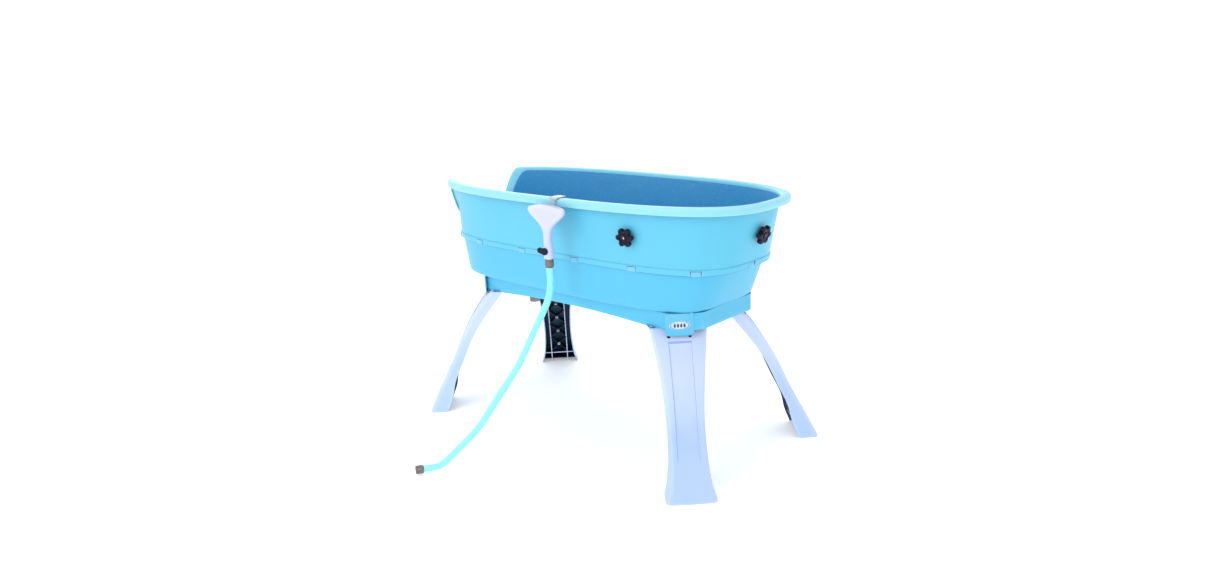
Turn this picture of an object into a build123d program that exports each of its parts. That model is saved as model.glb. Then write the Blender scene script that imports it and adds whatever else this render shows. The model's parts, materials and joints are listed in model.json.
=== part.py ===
from build123d import *
import os
from math import cos, radians, sin, sqrt

# Elevated pet bath: an oval two-piece tub on four splayed channel legs, with a
# low walk-in notch at its left end, a clip-on rinse wand with hose, a floor
# drain, and three restraint tethers held by star knobs at the right end.
# Frame: origin on the floor under the tub's centre, +X towards the restraint
# end, -Y towards the side that the wand hangs on, +Z up.  Millimetres.

# ---------------------------------------------------------------- driving sizes
RIM_TOP = 780.0            # top of the rolled rim above the floor
RIM_LENGTH = 1270.0        # over the rolled rim, end to end
RIM_WIDTH = 538.0          # over the rolled rim, side to side
SEAM = 586.0               # bottom edge of the upper shell's band
PAN_EDGE = 472.0           # bottom edge of the lower wall
SKIRT_BOTTOM = 421.0       # bottom of the recessed skirt
FLOOR_TOP = 444.0          # inner floor of the tub
WALL = 4.0                 # moulded wall thickness of the tub

# rolled rim
RIM_OVERHANG = 27.0
RIM_DROP = 23.0
RIM_POWER = 2.74           # superellipse exponent of the rim's outline

# upper wall and its band
SEAM_HALF_X = 566.0
SEAM_HALF_Y = 224.0
SEAM_POWER = 3.58
SEAM_SHIFT = -13.0
BAND_HEIGHT = 18.0
BAND_PROUD = 3.0
WALL_TOP_HALF_X = RIM_LENGTH / 2 - RIM_OVERHANG
WALL_TOP_HALF_Y = RIM_WIDTH / 2 - RIM_OVERHANG

# walk-in notch in the left end
NOTCH_DEPTH = 110.0
NOTCH_FLAT = 92.0          # half width of its level bottom
NOTCH_OPEN = 158.0         # half width where the rim is level again

# lower shell
LOWER_TOP_HALF_X = 553.0
LOWER_TOP_HALF_Y = 216.0
LOWER_TOP_SHIFT = -19.0
LOWER_TOP_POWER = 3.6
PAN_HALF_X = 508.0
PAN_HALF_Y = 210.0
PAN_SHIFT = -27.0
PAN_POWER = 4.2
BASIN_HALF_X = 434.0
BASIN_HALF_Y = 158.0
BASIN_FLOOR_HALF_X = 422.0
BASIN_FLOOR_HALF_Y = 146.0
BASIN_POWER = 3.0
BASIN_SHIFT = 9.0
LEDGE = 476.0              # top of the ledge round the basin
LAP_GAP = 0.3              # clearance between the two shells
LIP_HEIGHT = 15.7          # lower shell's lip inside the upper shell's band
SKIRT_RIGHT = 472.0
SKIRT_LEFT = -454.0
SKIRT_HALF_Y = 178.0
SKIRT_CORNER = 588.0       # |x| + |y| on the skirt's right corner faces
SKIRT_ARCH = 10.0          # rise of the skirt's bottom edge between the legs
SKIRT_ARCH_HALF = 300.0

# snap tabs: angle of each one round the seam, from +X
TAB_ANGLES = [0, 40, 60, 80, 103, 123, 142, 180, -142, -123, -103, -80, -60, -40]
TAB_WIDTH = 28.0
TAB_HEIGHT = 14.0
TAB_PROUD = 0.6
TAB_DEPTH = 7.0

# legs, in a foot's own plane: distance outward from the foot's centre, height
FOOT_X = 550.0
FOOT_Y = 288.0
LEG_WALL = 5.5
OUTER_EDGE = [(32, 0), (8, 50), (-18, 100), (-52, 166), (-102, 273), (-167, 374), (-222, 438)]
INNER_EDGE = [(-28, 0), (-48, 50), (-60, 100), (-90, 166), (-141, 273), (-212, 374), (-262, 438)]
HALF_WIDTHS = [(71, 0), (62, 30), (55, 80), (52, 150), (54, 220), (66, 325), (86, 438)]
LEG_SPAN = 110.0
LEG_RUN = 400.0
RIB = 3.0
RIB_SIDE = 30.0            # distance of the two upright ribs from the middle
RIB_RECESS = 8.0
RIB_BOSS_R = 5.0
RIB_PITCH = 62.0           # height of one cross of ribs
RIB_FIRST = 80.0
RIB_CROSSES = 5
RIB_TOP = 378.0
FOOT_RIBS = (16.0, 42.0)

# corner plugs that the legs push onto, and their screws
PLUG_BOTTOM = 384.0
PLUG_HALF_WIDTH = 40.0
PLUG_DEPTH = 18.0
SOCKET_GAP = 2.0
SCREW_SPREAD = 30.0
SCREW_Z = 400.5
SCREW_R = 2.4
SCREW_HOLE_R = 2.5
SCREW_HEAD_R = 4.6
SCREW_HEAD_T = 2.8
SCREW_LENGTH = 15.0

# corner faces of the skirt, and the badge on one of them
CORNER_FACE_WIDTH = 80.0
CORNER_FACE_BOTTOM = 407.0
CORNER_FACE_ROUND = 12.0
CORNER_FACE_PROUD = 1.6
BADGE_LENGTH = 58.0
BADGE_HEIGHT = 26.0
BADGE_T = 1.8
BADGE_Z = 438.0

# drain
DRAIN_X = -352.0
DRAIN_TUBE_R = 18.5
DRAIN_SPOUT_R = 17.5
DRAIN_THREAD_BELOW = 5.0    # tube left at full size under the lock nut
DRAIN_BORE_R = 15.5
DRAIN_FLANGE_R = 30.0
DRAIN_FLANGE_T = 3.0
DRAIN_BOTTOM = 343.0
DRAIN_HOLE_R = 18.7
DRAIN_NUT_R = 26.0
DRAIN_NUT_T = 10.0
STRAINER_T = 2.0
STRAINER_HOLE_R = 2.2
STOPPER_R = 15.4

# mat
MAT_HALF_X = 404.0
MAT_HALF_Y = 132.0
MAT_T = 3.5
MAT_HOLE_R = 36.0

# knobs and restraint bolts, at angles round the upper wall
KNOB_ANGLES = {"end": 0.0, "near": -61.5, "far": 61.5}
KNOB_Z = 687.0
KNOB_LOBES = 6
KNOB_LOBE_R = 7.5
KNOB_LOBE_PITCH_R = 20.5
KNOB_CORE_R = 19.0
KNOB_THICK = 15.0
KNOB_HUB_R = 11.0
KNOB_HUB_T = 5.0
KNOB_START = 2.6           # gap from the wall to the knob's hub
INSERT_R = 6.5
BOLT_R = 4.0
BOLT_HOLE_R = 4.3
RUNNING_GAP = 0.05
WASHER_R = 9.0
WASHER_T = 1.6
COLLAR_T = 3.0
SEAL_T = 2.0
EYE_R = 9.0
EYE_WIRE_R = 2.5
TETHER_WIDTH = 20.0
TETHER_T = 3.0
TETHER_LENGTH = 30.0
SNAP_HEIGHT = 34.0
SNAP_WIDTH = 19.0
SNAP_WIRE = 4.0
SNAP_T = 5.0
SNAP_EYE_HEIGHT = 9.0
SNAP_EYE_WIDTH = 28.0
GATE_LENGTH = 11.0
GATE_PIN_R = 0.9

# rinse wand, hanging head up outside the near rim
WAND_X = 60.0
WAND_Y = -300.0
WAND_TOP = 766.0
WAND_BOTTOM = 611.0
HEAD_HALF_WIDTH = 75.5
SHOULDER_Z = 750.0
HEAD_HALF_THICK = 12.5
NECK_Z = 690.0
GRIP_R = 14.5
SHELL_T = 2.5
VALVE_Z = 633.0
BALL_R = 8.5
BALL_BORE_R = 4.5
STEM_R = 3.0
CARTRIDGE_R = 11.8
CARTRIDGE_HALF = 15.0
TAIL_R = 9.27
NUT_BORE_R = 9.32          # minor radius of a G 1/2 internal thread
NUT_R = 12.8
NUT_TOP = 607.0
NUT_BOTTOM = 583.0
NUT_LIP = 3.0
NUT_UNDERCUT = 5.0         # length of the relief round the flange and washer
BARB_R = 6.3
BARB_BORE_R = 4.5
BARB_FLANGE_R = 9.1
BARB_FLANGE_T = 2.0
BARB_LENGTH = 26.0
LEVER_R = 7.0
LEVER_T = 5.0
LEVER_REACH = 27.0

# hanger
HANGER_T = 2.5
HANGER_WIDTH = 32.0
TONGUE_WIDTH = 20.0
TONGUE_TOP = 728.0
TONGUE_BOTTOM = 712.0

# hose: corners of its run as distance along its fall line and height
HOSE_R = 10.0
HOSE_BORE_R = 6.5
HOSE_END_X = -156.0
HOSE_END_Y = -653.0
HOSE_END_Z = 19.0
HOSE_CORNERS = [(0, 505), (110, 300), (245, 118), (362, 19)]
HOSE_BEND_R = [180, 300, 300, 63]

DIAGONAL = sqrt(0.5)
os.makedirs("parts", exist_ok=True)


def finish(name, builder):
    """Label a finished piece and write its file."""
    builder.part.label = name
    export_step(builder.part, f"parts/{name}.step")


# ---------------------------------------------------------------- outline maths
def between(low, high, share):
    return low + (high - low) * share


def oval_point(half_x, half_y, power, shift, angle):
    """Point of a superellipse, evenly spread round it by the angle in degrees."""
    c = cos(radians(angle))
    s = sin(radians(angle))
    k = (abs(c) ** power + abs(s) ** power) ** (-1 / power)
    return (shift + half_x * k * c, half_y * k * s)


def oval(half_x, half_y, power, shift, height):
    """Closed superellipse face at a height."""
    points = [oval_point(half_x, half_y, power, shift, a) for a in range(0, 360, 10)]
    with BuildSketch(Plane.XY.offset(height)) as face:
        with BuildLine():
            Spline(*points, periodic=True)
        make_face()
    return face.sketch


def upper_sizes(height, inset):
    """Half lengths, exponent and shift of the upper wall's outline at a height."""
    share = (height - SEAM) / (RIM_TOP - SEAM)
    return (
        between(SEAM_HALF_X - BAND_PROUD, WALL_TOP_HALF_X, share) - inset,
        between(SEAM_HALF_Y - BAND_PROUD, WALL_TOP_HALF_Y, share) - inset,
        between(SEAM_POWER, RIM_POWER, share),
        between(SEAM_SHIFT, 0, share),
    )


def upper_oval(height, inset):
    return oval(*upper_sizes(height, inset), height)


def seam_oval(height, inset):
    return oval(SEAM_HALF_X - inset, SEAM_HALF_Y - inset, SEAM_POWER, SEAM_SHIFT, height)


def lower_oval(height, inset):
    """Section of the lower wall at a height, inset from its outer face."""
    share = (height - PAN_EDGE) / (SEAM - PAN_EDGE)
    return oval(
        between(PAN_HALF_X, LOWER_TOP_HALF_X, share) - inset,
        between(PAN_HALF_Y, LOWER_TOP_HALF_Y, share) - inset,
        between(PAN_POWER, LOWER_TOP_POWER, share),
        between(PAN_SHIFT, LOWER_TOP_SHIFT, share),
        height,
    )


def skirt_outline(inset, height):
    """Rectangle with four 45 degree corners, inset from the skirt's face."""
    right = SKIRT_RIGHT - inset
    left = SKIRT_LEFT + inset
    side = SKIRT_HALF_Y - inset
    right_corner = SKIRT_CORNER - inset * sqrt(2)
    left_corner = right_corner - SKIRT_RIGHT - SKIRT_LEFT
    with BuildSketch(Plane.XY.offset(height)) as face:
        with BuildLine():
            Polyline(
                (right, right_corner - right), (right_corner - side, side),
                (side - left_corner, side), (left, left_corner + left),
                (left, -left_corner - left), (side - left_corner, -side),
                (right_corner - side, -side), (right, right - right_corner),
                close=True,
            )
        make_face()
    return face.sketch


def below_rim(drop, depth):
    """Slab from drop under the rim's top line to drop + depth under it."""
    top = RIM_TOP - drop
    side = RIM_WIDTH
    with BuildPart() as slab:
        for start, end, dip in ((-RIM_LENGTH, -250, NOTCH_DEPTH), (-250, RIM_LENGTH, 0)):
            with BuildSketch(Plane.YZ.offset(start)):
                with BuildLine():
                    for base in (top, top - depth):
                        low = base - dip
                        slope = [(1, 0), (1, 0)]
                        Line((-side, base), (-NOTCH_OPEN, base))
                        Spline((-NOTCH_OPEN, base), (-NOTCH_FLAT, low), tangents=slope)
                        Line((-NOTCH_FLAT, low), (NOTCH_FLAT, low))
                        Spline((NOTCH_FLAT, low), (NOTCH_OPEN, base), tangents=slope)
                        Line((NOTCH_OPEN, base), (side, base))
                    Line((-side, top), (-side, top - depth))
                    Line((side, top), (side, top - depth))
                make_face()
            extrude(amount=end - start)
    return slab.part


def seam_plane(angle):
    """Upright plane on the seam's outline, its x along the seam and z outward."""
    sizes = (SEAM_HALF_X, SEAM_HALF_Y, SEAM_POWER, SEAM_SHIFT)
    here = Vector(*oval_point(*sizes, angle), SEAM)
    ahead = Vector(*oval_point(*sizes, angle + 1), SEAM)
    along = (ahead - here).normalized()
    return Plane(origin=here, x_dir=along, z_dir=along.cross(Vector(0, 0, 1)))


def wall_plane(angle):
    """Plane on the upper wall's outer face at knob height, its z pointing out."""
    corners = [
        Vector(*oval_point(*upper_sizes(height, 0), step), height)
        for step in (angle, angle + 1) for height in (WALL_BASE, RIM_TOP)
    ]
    share = (KNOB_Z - WALL_BASE) / (RIM_TOP - WALL_BASE)
    here = between(corners[0], corners[1], share)
    ahead = between(corners[2], corners[3], share)
    along = (ahead - here).normalized()
    return Plane(origin=here, x_dir=along, z_dir=along.cross(corners[1] - here).normalized())


# ---------------------------------------------------------------- upper shell
WALL_BASE = SEAM + BAND_HEIGHT - 2
knob_planes = {side: wall_plane(angle) for side, angle in KNOB_ANGLES.items()}
tab_planes = [seam_plane(angle) for angle in TAB_ANGLES]


def flared_solid(inset, slab):
    """Solid inside the upper wall's flare, cut to a slab that follows the rim."""
    with BuildPart() as solid:
        loft([upper_oval(WALL_BASE, inset), upper_oval(RIM_TOP, inset)], ruled=True)
        add(slab, mode=Mode.INTERSECT)
    return solid.part


with BuildPart() as upper_tub:
    add(flared_solid(-RIM_OVERHANG, below_rim(0, RIM_DROP)))
    add(flared_solid(WALL - RIM_OVERHANG, below_rim(WALL, 2 * RIM_DROP)), mode=Mode.SUBTRACT)
    add(flared_solid(0, below_rim(0, 2 * NOTCH_DEPTH)))
    extrude(seam_oval(SEAM, 0), amount=BAND_HEIGHT)
    loft(
        [upper_oval(WALL_BASE, WALL), upper_oval(RIM_TOP + 2, WALL)],
        ruled=True, mode=Mode.SUBTRACT,
    )
    extrude(seam_oval(SEAM - 1, WALL), amount=BAND_HEIGHT - 1, mode=Mode.SUBTRACT)
    for plane in tab_planes:
        with BuildSketch(plane.offset(-TAB_DEPTH)):
            with Locations((0, TAB_HEIGHT / 2 - 1)):
                Rectangle(TAB_WIDTH + 2 * LAP_GAP, TAB_HEIGHT + 2 + 2 * LAP_GAP)
        extrude(amount=2 * TAB_DEPTH, mode=Mode.SUBTRACT)
    for plane in knob_planes.values():
        with BuildSketch(plane.offset(-2 * WALL)):
            Circle(BOLT_HOLE_R)
        extrude(amount=3 * WALL, mode=Mode.SUBTRACT)
finish("upper_tub", upper_tub)

# ---------------------------------------------------------------- leg geometry
SIDE_PLANE = Plane(
    origin=(FOOT_X, -FOOT_Y, 0), x_dir=(DIAGONAL, -DIAGONAL, 0), z_dir=(-DIAGONAL, -DIAGONAL, 0)
)
FRONT_PLANE = Plane(
    origin=(FOOT_X, -FOOT_Y, 0), x_dir=(DIAGONAL, DIAGONAL, 0), z_dir=(DIAGONAL, -DIAGONAL, 0)
)


def shifted(points, by):
    return [(r + by, z) for r, z in points]


def side_solid(outer, inner):
    """Solid between two upright curves, right across a leg's width."""
    with BuildPart() as solid:
        with BuildSketch(SIDE_PLANE):
            with BuildLine():
                Spline(*outer)
                Spline(*inner)
                Line(outer[0], inner[0])
                Line(outer[-1], inner[-1])
            make_face()
        extrude(amount=LEG_SPAN, both=True)
    return solid.part


def front_solid(inset):
    """Solid through a leg's front outline, inset from its sides."""
    right = [(w - inset, z) for w, z in HALF_WIDTHS]
    left = [(-w, z) for w, z in right]
    with BuildPart() as solid:
        with BuildSketch(FRONT_PLANE):
            with BuildLine():
                Spline(*right)
                Spline(*left)
                Line(right[0], left[0])
                Line(right[-1], left[-1])
            make_face()
        extrude(amount=LEG_RUN, both=True)
    return solid.part


# Where the screws enter a leg's outer web, and the way they point out.
low_r, low_z = OUTER_EDGE[-2]
high_r, high_z = OUTER_EDGE[-1]
screw_r = between(low_r, high_r, (SCREW_Z - low_z) / (high_z - low_z))
web_run = sqrt((high_r - low_r) ** 2 + (high_z - low_z) ** 2)
web_out = (high_z - low_z) / web_run
web_up = (low_r - high_r) / web_run
SCREW_PLANE = Plane(
    origin=SIDE_PLANE.from_local_coords(Vector(screw_r, SCREW_Z, 0)),
    x_dir=(DIAGONAL, DIAGONAL, 0),
    z_dir=(web_out * DIAGONAL, -web_out * DIAGONAL, web_up),
)
screw_places = [(-SCREW_SPREAD, 0), (SCREW_SPREAD, 0)]
plug_low = between(low_r, high_r, (PLUG_BOTTOM - low_z) / (high_z - low_z)) - LEG_WALL - SOCKET_GAP
plug_high = high_r - LEG_WALL - SOCKET_GAP
corner_reach = (SKIRT_CORNER - FOOT_X - FOOT_Y) * DIAGONAL

# ---------------------------------------------------------------- lower shell
with BuildPart() as leg_plug:
    with BuildSketch(SIDE_PLANE):
        with BuildLine():
            Polyline(
                (plug_low, PLUG_BOTTOM), (plug_high, high_z), (plug_high, PAN_EDGE),
                (plug_high - PLUG_DEPTH, PAN_EDGE), (plug_high - PLUG_DEPTH, high_z),
                (plug_low - PLUG_DEPTH, PLUG_BOTTOM), close=True,
            )
        make_face()
    extrude(amount=PLUG_HALF_WIDTH, both=True)

with BuildPart() as plug_holes:
    with BuildSketch(SCREW_PLANE):
        with Locations(*screw_places):
            Circle(SCREW_HOLE_R)
    extrude(amount=-SCREW_LENGTH - 4)

with BuildPart() as corner_face:
    with BuildSketch(FRONT_PLANE.offset(corner_reach - WALL)):
        with Locations((0, (CORNER_FACE_BOTTOM + PAN_EDGE) / 2)):
            plate = Rectangle(CORNER_FACE_WIDTH, PAN_EDGE - CORNER_FACE_BOTTOM)
        fillet(plate.vertices().group_by(Axis.Y)[0], CORNER_FACE_ROUND)
    extrude(amount=WALL + CORNER_FACE_PROUD)

SKIRT_MIDDLE = (SKIRT_RIGHT + SKIRT_LEFT) / 2


def four_corners(part, shift=0.0):
    """The part at the front right corner, and its copies at the other three."""
    left = Location((shift, 0, 0)) * part.mirror(Plane.YZ)
    return [part, part.mirror(Plane.XZ), left, left.mirror(Plane.XZ)]


with BuildPart() as lower_tub:
    loft([lower_oval(PAN_EDGE, 0), lower_oval(SEAM, 0)], ruled=True)
    extrude(seam_oval(SEAM, WALL + LAP_GAP), amount=LIP_HEIGHT)
    extrude(skirt_outline(0, SKIRT_BOTTOM), amount=PAN_EDGE - SKIRT_BOTTOM)
    for corner in four_corners(corner_face.part, 2 * SKIRT_MIDDLE):
        add(corner)
    extrude(skirt_outline(WALL, SKIRT_BOTTOM - 20), amount=PAN_EDGE - SKIRT_BOTTOM + 20, mode=Mode.SUBTRACT)
    with BuildSketch(Plane.XZ.offset(-SKIRT_HALF_Y - WALL)):
        with BuildLine():
            left_end = (SKIRT_MIDDLE - SKIRT_ARCH_HALF, SKIRT_BOTTOM)
            right_end = (SKIRT_MIDDLE + SKIRT_ARCH_HALF, SKIRT_BOTTOM)
            ThreePointArc(left_end, (SKIRT_MIDDLE, SKIRT_BOTTOM + SKIRT_ARCH), right_end)
            Line(left_end, right_end)
        make_face()
    extrude(amount=2 * (SKIRT_HALF_Y + WALL), mode=Mode.SUBTRACT)
    loft(
        [oval(BASIN_FLOOR_HALF_X, BASIN_FLOOR_HALF_Y, BASIN_POWER, BASIN_SHIFT, FLOOR_TOP - WALL),
         oval(BASIN_HALF_X, BASIN_HALF_Y, BASIN_POWER, BASIN_SHIFT, LEDGE)],
        ruled=True,
    )
    loft([lower_oval(LEDGE, WALL), lower_oval(SEAM + 2 * WALL, WALL)], ruled=True, mode=Mode.SUBTRACT)
    extrude(seam_oval(SEAM + WALL, 2 * WALL + LAP_GAP), amount=LIP_HEIGHT, mode=Mode.SUBTRACT)
    loft(
        [oval(BASIN_FLOOR_HALF_X - WALL, BASIN_FLOOR_HALF_Y - WALL, BASIN_POWER, BASIN_SHIFT, FLOOR_TOP),
         oval(BASIN_HALF_X - WALL, BASIN_HALF_Y - WALL, BASIN_POWER, BASIN_SHIFT, LEDGE)],
        ruled=True, mode=Mode.SUBTRACT,
    )
    for plane in tab_planes:
        with BuildSketch(plane.offset(-TAB_DEPTH)):
            with Locations((0, TAB_HEIGHT / 2)):
                Rectangle(TAB_WIDTH, TAB_HEIGHT)
        extrude(amount=TAB_DEPTH + TAB_PROUD)
    for corner in four_corners(leg_plug.part):
        add(corner)
    for corner in four_corners(plug_holes.part):
        add(corner, mode=Mode.SUBTRACT)
    with BuildSketch(Plane.XY.offset(FLOOR_TOP - 2 * WALL)):
        with Locations((DRAIN_X, 0)):
            Circle(DRAIN_HOLE_R)
    extrude(amount=3 * WALL, mode=Mode.SUBTRACT)
finish("lower_tub", lower_tub)

# ---------------------------------------------------------------- mat and badge
with BuildPart() as floor_mat:
    with BuildSketch(Plane.XY.offset(FLOOR_TOP + 0.2)):
        add(oval(MAT_HALF_X, MAT_HALF_Y, BASIN_POWER, BASIN_SHIFT, 0))
        with Locations((DRAIN_X, 0)):
            Circle(MAT_HOLE_R, mode=Mode.SUBTRACT)
    extrude(amount=MAT_T)
finish("floor_mat", floor_mat)

with BuildPart() as badge:
    with BuildSketch(FRONT_PLANE.offset(corner_reach + CORNER_FACE_PROUD)):
        with Locations((0, BADGE_Z)):
            Ellipse(BADGE_LENGTH / 2, BADGE_HEIGHT / 2)
    extrude(amount=BADGE_T)
    chamfer(badge.faces().sort_by(Axis((0, 0, 0), (DIAGONAL, -DIAGONAL, 0)))[-1].edges(), 0.6)
finish("badge", badge)

# ---------------------------------------------------------------- legs
cavity_outer = shifted(OUTER_EDGE, -LEG_WALL)
with BuildPart() as leg_ribs:
    with BuildSketch(FRONT_PLANE):
        for side in (-RIB_SIDE, RIB_SIDE):
            with Locations((side, RIB_TOP / 2)):
                Rectangle(RIB, RIB_TOP)
        for index in range(RIB_CROSSES):
            cross = RIB_FIRST + index * RIB_PITCH
            for side in (-1, 1):
                with BuildLine():
                    Line(
                        (-RIB_SIDE, cross - side * RIB_PITCH / 2),
                        (RIB_SIDE, cross + side * RIB_PITCH / 2),
                    )
                trace(line_width=RIB)
            with Locations((0, cross)):
                Circle(RIB_BOSS_R)
        for height in FOOT_RIBS:
            with Locations((0, height)):
                Rectangle(2 * LEG_SPAN, RIB)
        with Locations((0, RIB_TOP - RIB / 2)):
            Rectangle(2 * RIB_SIDE, RIB)
    extrude(amount=LEG_RUN, both=True)
    add(front_solid(LEG_WALL - 1), mode=Mode.INTERSECT)
    add(side_solid(shifted(cavity_outer, 1), shifted(INNER_EDGE, RIB_RECESS)), mode=Mode.INTERSECT)

with BuildPart() as whole_leg:
    add(side_solid(OUTER_EDGE, INNER_EDGE))
    add(front_solid(0), mode=Mode.INTERSECT)
    with BuildPart(mode=Mode.PRIVATE) as cavity:
        add(side_solid(cavity_outer, shifted(INNER_EDGE, -LEG_SPAN)))
        add(front_solid(LEG_WALL), mode=Mode.INTERSECT)
    add(cavity.part, mode=Mode.SUBTRACT)
    add(leg_ribs.part)
    with BuildSketch(SCREW_PLANE):
        with Locations(*screw_places):
            Circle(SCREW_HOLE_R)
    extrude(amount=-2 * LEG_WALL, mode=Mode.SUBTRACT)
    with BuildSketch(SCREW_PLANE):
        with Locations(*screw_places):
            Circle(SCREW_HEAD_R + 0.4)
    extrude(amount=2 * SCREW_HEAD_T, mode=Mode.SUBTRACT)

with BuildPart() as outside_skirt:
    with BuildSketch(Plane.XY.offset(SKIRT_BOTTOM - 1)):
        Rectangle(RIM_LENGTH, 2 * RIM_WIDTH)
        add(skirt_outline(WALL + 0.5, 0), mode=Mode.SUBTRACT)
    extrude(amount=high_z)

leg_names = ["leg_front_right", "leg_back_right", "leg_front_left", "leg_back_left"]
for leg_name, leg_copy in zip(leg_names, four_corners(whole_leg.part)):
    with BuildPart() as leg:
        add(leg_copy)
        add(outside_skirt.part, mode=Mode.SUBTRACT)
    finish(leg_name, leg)

with BuildPart() as corner_screws:
    with BuildSketch(SCREW_PLANE.offset(0.4)):
        with Locations(*screw_places):
            Circle(SCREW_HEAD_R)
    extrude(amount=SCREW_HEAD_T)
    fillet(corner_screws.faces().sort_by(Axis(SCREW_PLANE.origin, SCREW_PLANE.z_dir))[-2:].edges(), 1.2)
    with BuildSketch(SCREW_PLANE.offset(0.4)):
        with Locations(*screw_places):
            Circle(SCREW_R)
    extrude(amount=-SCREW_LENGTH)

with BuildPart() as leg_screws:
    for corner in four_corners(corner_screws.part):
        add(corner)
finish("leg_screws", leg_screws)

# ---------------------------------------------------------------- drain
GASKET_TOP = FLOOR_TOP - WALL - 0.2
LOCK_NUT_BOTTOM = GASKET_TOP - SEAL_T - 0.2 - DRAIN_NUT_T
SPOUT_TOP = LOCK_NUT_BOTTOM - DRAIN_THREAD_BELOW
with BuildPart() as drain_body:
    with BuildSketch(Plane.XY.offset(DRAIN_BOTTOM)):
        with Locations((DRAIN_X, 0)):
            Circle(DRAIN_SPOUT_R)
    extrude(amount=SPOUT_TOP - DRAIN_BOTTOM)
    with BuildSketch(Plane.XY.offset(SPOUT_TOP)):
        with Locations((DRAIN_X, 0)):
            Circle(DRAIN_TUBE_R)
    extrude(amount=FLOOR_TOP + 0.2 - SPOUT_TOP)
    with BuildSketch(Plane.XY.offset(FLOOR_TOP + 0.2)):
        with Locations((DRAIN_X, 0)):
            Circle(DRAIN_FLANGE_R)
    extrude(amount=DRAIN_FLANGE_T)
    fillet(drain_body.faces().sort_by(Axis.Z)[-1].edges(), 1.2)
    with BuildSketch(Plane.XY.offset(DRAIN_BOTTOM)):
        with Locations((DRAIN_X, 0)):
            Circle(DRAIN_BORE_R)
    extrude(amount=FLOOR_TOP - DRAIN_BOTTOM + 2 * DRAIN_FLANGE_T, mode=Mode.SUBTRACT)
    chamfer(drain_body.faces().sort_by(Axis.Z)[0].outer_wire().edges(), 1.0)
finish("drain_body", drain_body)

with BuildPart() as drain_gasket:
    with BuildSketch(Plane.XY.offset(GASKET_TOP - SEAL_T)):
        with Locations((DRAIN_X, 0)):
            Circle(DRAIN_NUT_R - 1)
            Circle(DRAIN_TUBE_R + 0.1, mode=Mode.SUBTRACT)
    extrude(amount=SEAL_T)
finish("drain_gasket", drain_gasket)

with BuildPart() as drain_nut:
    with BuildSketch(Plane.XY.offset(LOCK_NUT_BOTTOM)):
        with Locations((DRAIN_X, 0)):
            RegularPolygon(DRAIN_NUT_R, 6)
            Circle(DRAIN_TUBE_R + 0.1, mode=Mode.SUBTRACT)
    extrude(amount=DRAIN_NUT_T)
    chamfer(drain_nut.faces().sort_by(Axis.Z)[0].outer_wire().edges(), 1.0)
finish("drain_nut", drain_nut)

STRAINER_Z = 424.0
with BuildPart() as drain_strainer:
    with BuildSketch(Plane.XY.offset(STRAINER_Z)):
        with Locations((DRAIN_X, 0)):
            Circle(DRAIN_BORE_R - 0.05)
            Circle(STRAINER_HOLE_R, mode=Mode.SUBTRACT)
            for ring_r, count in ((6.0, 6), (11.2, 12)):
                with PolarLocations(ring_r, count):
                    Circle(STRAINER_HOLE_R, mode=Mode.SUBTRACT)
    extrude(amount=STRAINER_T)
finish("drain_strainer", drain_strainer)

with BuildPart() as drain_plug:
    with BuildSketch(Plane.XZ) as stopper_half:
        with BuildLine():
            top = FLOOR_TOP + DRAIN_FLANGE_T + 0.5
            Polyline(
                (0, top - 12), (STOPPER_R - 2, top - 12), (STOPPER_R, top), (STOPPER_R + 4, top),
                (STOPPER_R + 4, top + 3), (6, top + 4), (4, top + 8), (8, top + 13), (0, top + 14),
                close=True,
            )
        make_face()
    revolve(axis=Axis.Z)
drain_plug.part = Location((DRAIN_X, 0, 0)) * drain_plug.part
finish("drain_plug", drain_plug)

# ---------------------------------------------------------------- knobs and bolts
KNOB_TOP = KNOB_START + KNOB_HUB_T + KNOB_THICK
BOLT_BACK = -WALL - SEAL_T - 1.0
EYE_CENTRE = BOLT_BACK - COLLAR_T - EYE_R


def knob_on(plane):
    """Star knob with a bore for its insert."""
    with BuildPart() as knob:
        with BuildSketch(plane.offset(KNOB_START)):
            Circle(KNOB_HUB_R)
        extrude(amount=KNOB_HUB_T + 1)
        with BuildSketch(plane.offset(KNOB_START + KNOB_HUB_T)):
            Circle(KNOB_CORE_R)
            with PolarLocations(KNOB_LOBE_PITCH_R, KNOB_LOBES):
                Circle(KNOB_LOBE_R)
        extrude(amount=KNOB_THICK)
        fillet(knob.faces().sort_by(Axis(plane.origin, plane.z_dir))[-1].edges(), 2.5)
        with BuildSketch(plane):
            Circle(INSERT_R + 0.05)
        extrude(amount=KNOB_TOP + 5, mode=Mode.SUBTRACT)
    return knob


def insert_on(plane):
    """Threaded bush moulded into a knob."""
    with BuildPart() as bush:
        with BuildSketch(plane.offset(KNOB_START)):
            Circle(INSERT_R)
            Circle(BOLT_R + RUNNING_GAP, mode=Mode.SUBTRACT)
        extrude(amount=KNOB_TOP - KNOB_START - 1)
    return bush


for side, plane in knob_planes.items():
    finish(f"knob_{side}", knob_on(plane))
    finish(f"knob_insert_{side}", insert_on(plane))

with BuildPart() as eye_bolts:
    for plane in knob_planes.values():
        with BuildSketch(plane.offset(BOLT_BACK)):
            Circle(BOLT_R)
        extrude(amount=KNOB_TOP - 2 - BOLT_BACK)
        with BuildSketch(plane.offset(BOLT_BACK)):
            Circle(2 * BOLT_R)
        extrude(amount=-COLLAR_T)
        ring_plane = Plane(
            origin=plane.offset(EYE_CENTRE).origin, x_dir=plane.z_dir, z_dir=plane.x_dir
        )
        with Locations(ring_plane):
            Torus(EYE_R, EYE_WIRE_R)
finish("eye_bolts", eye_bolts)

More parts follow.
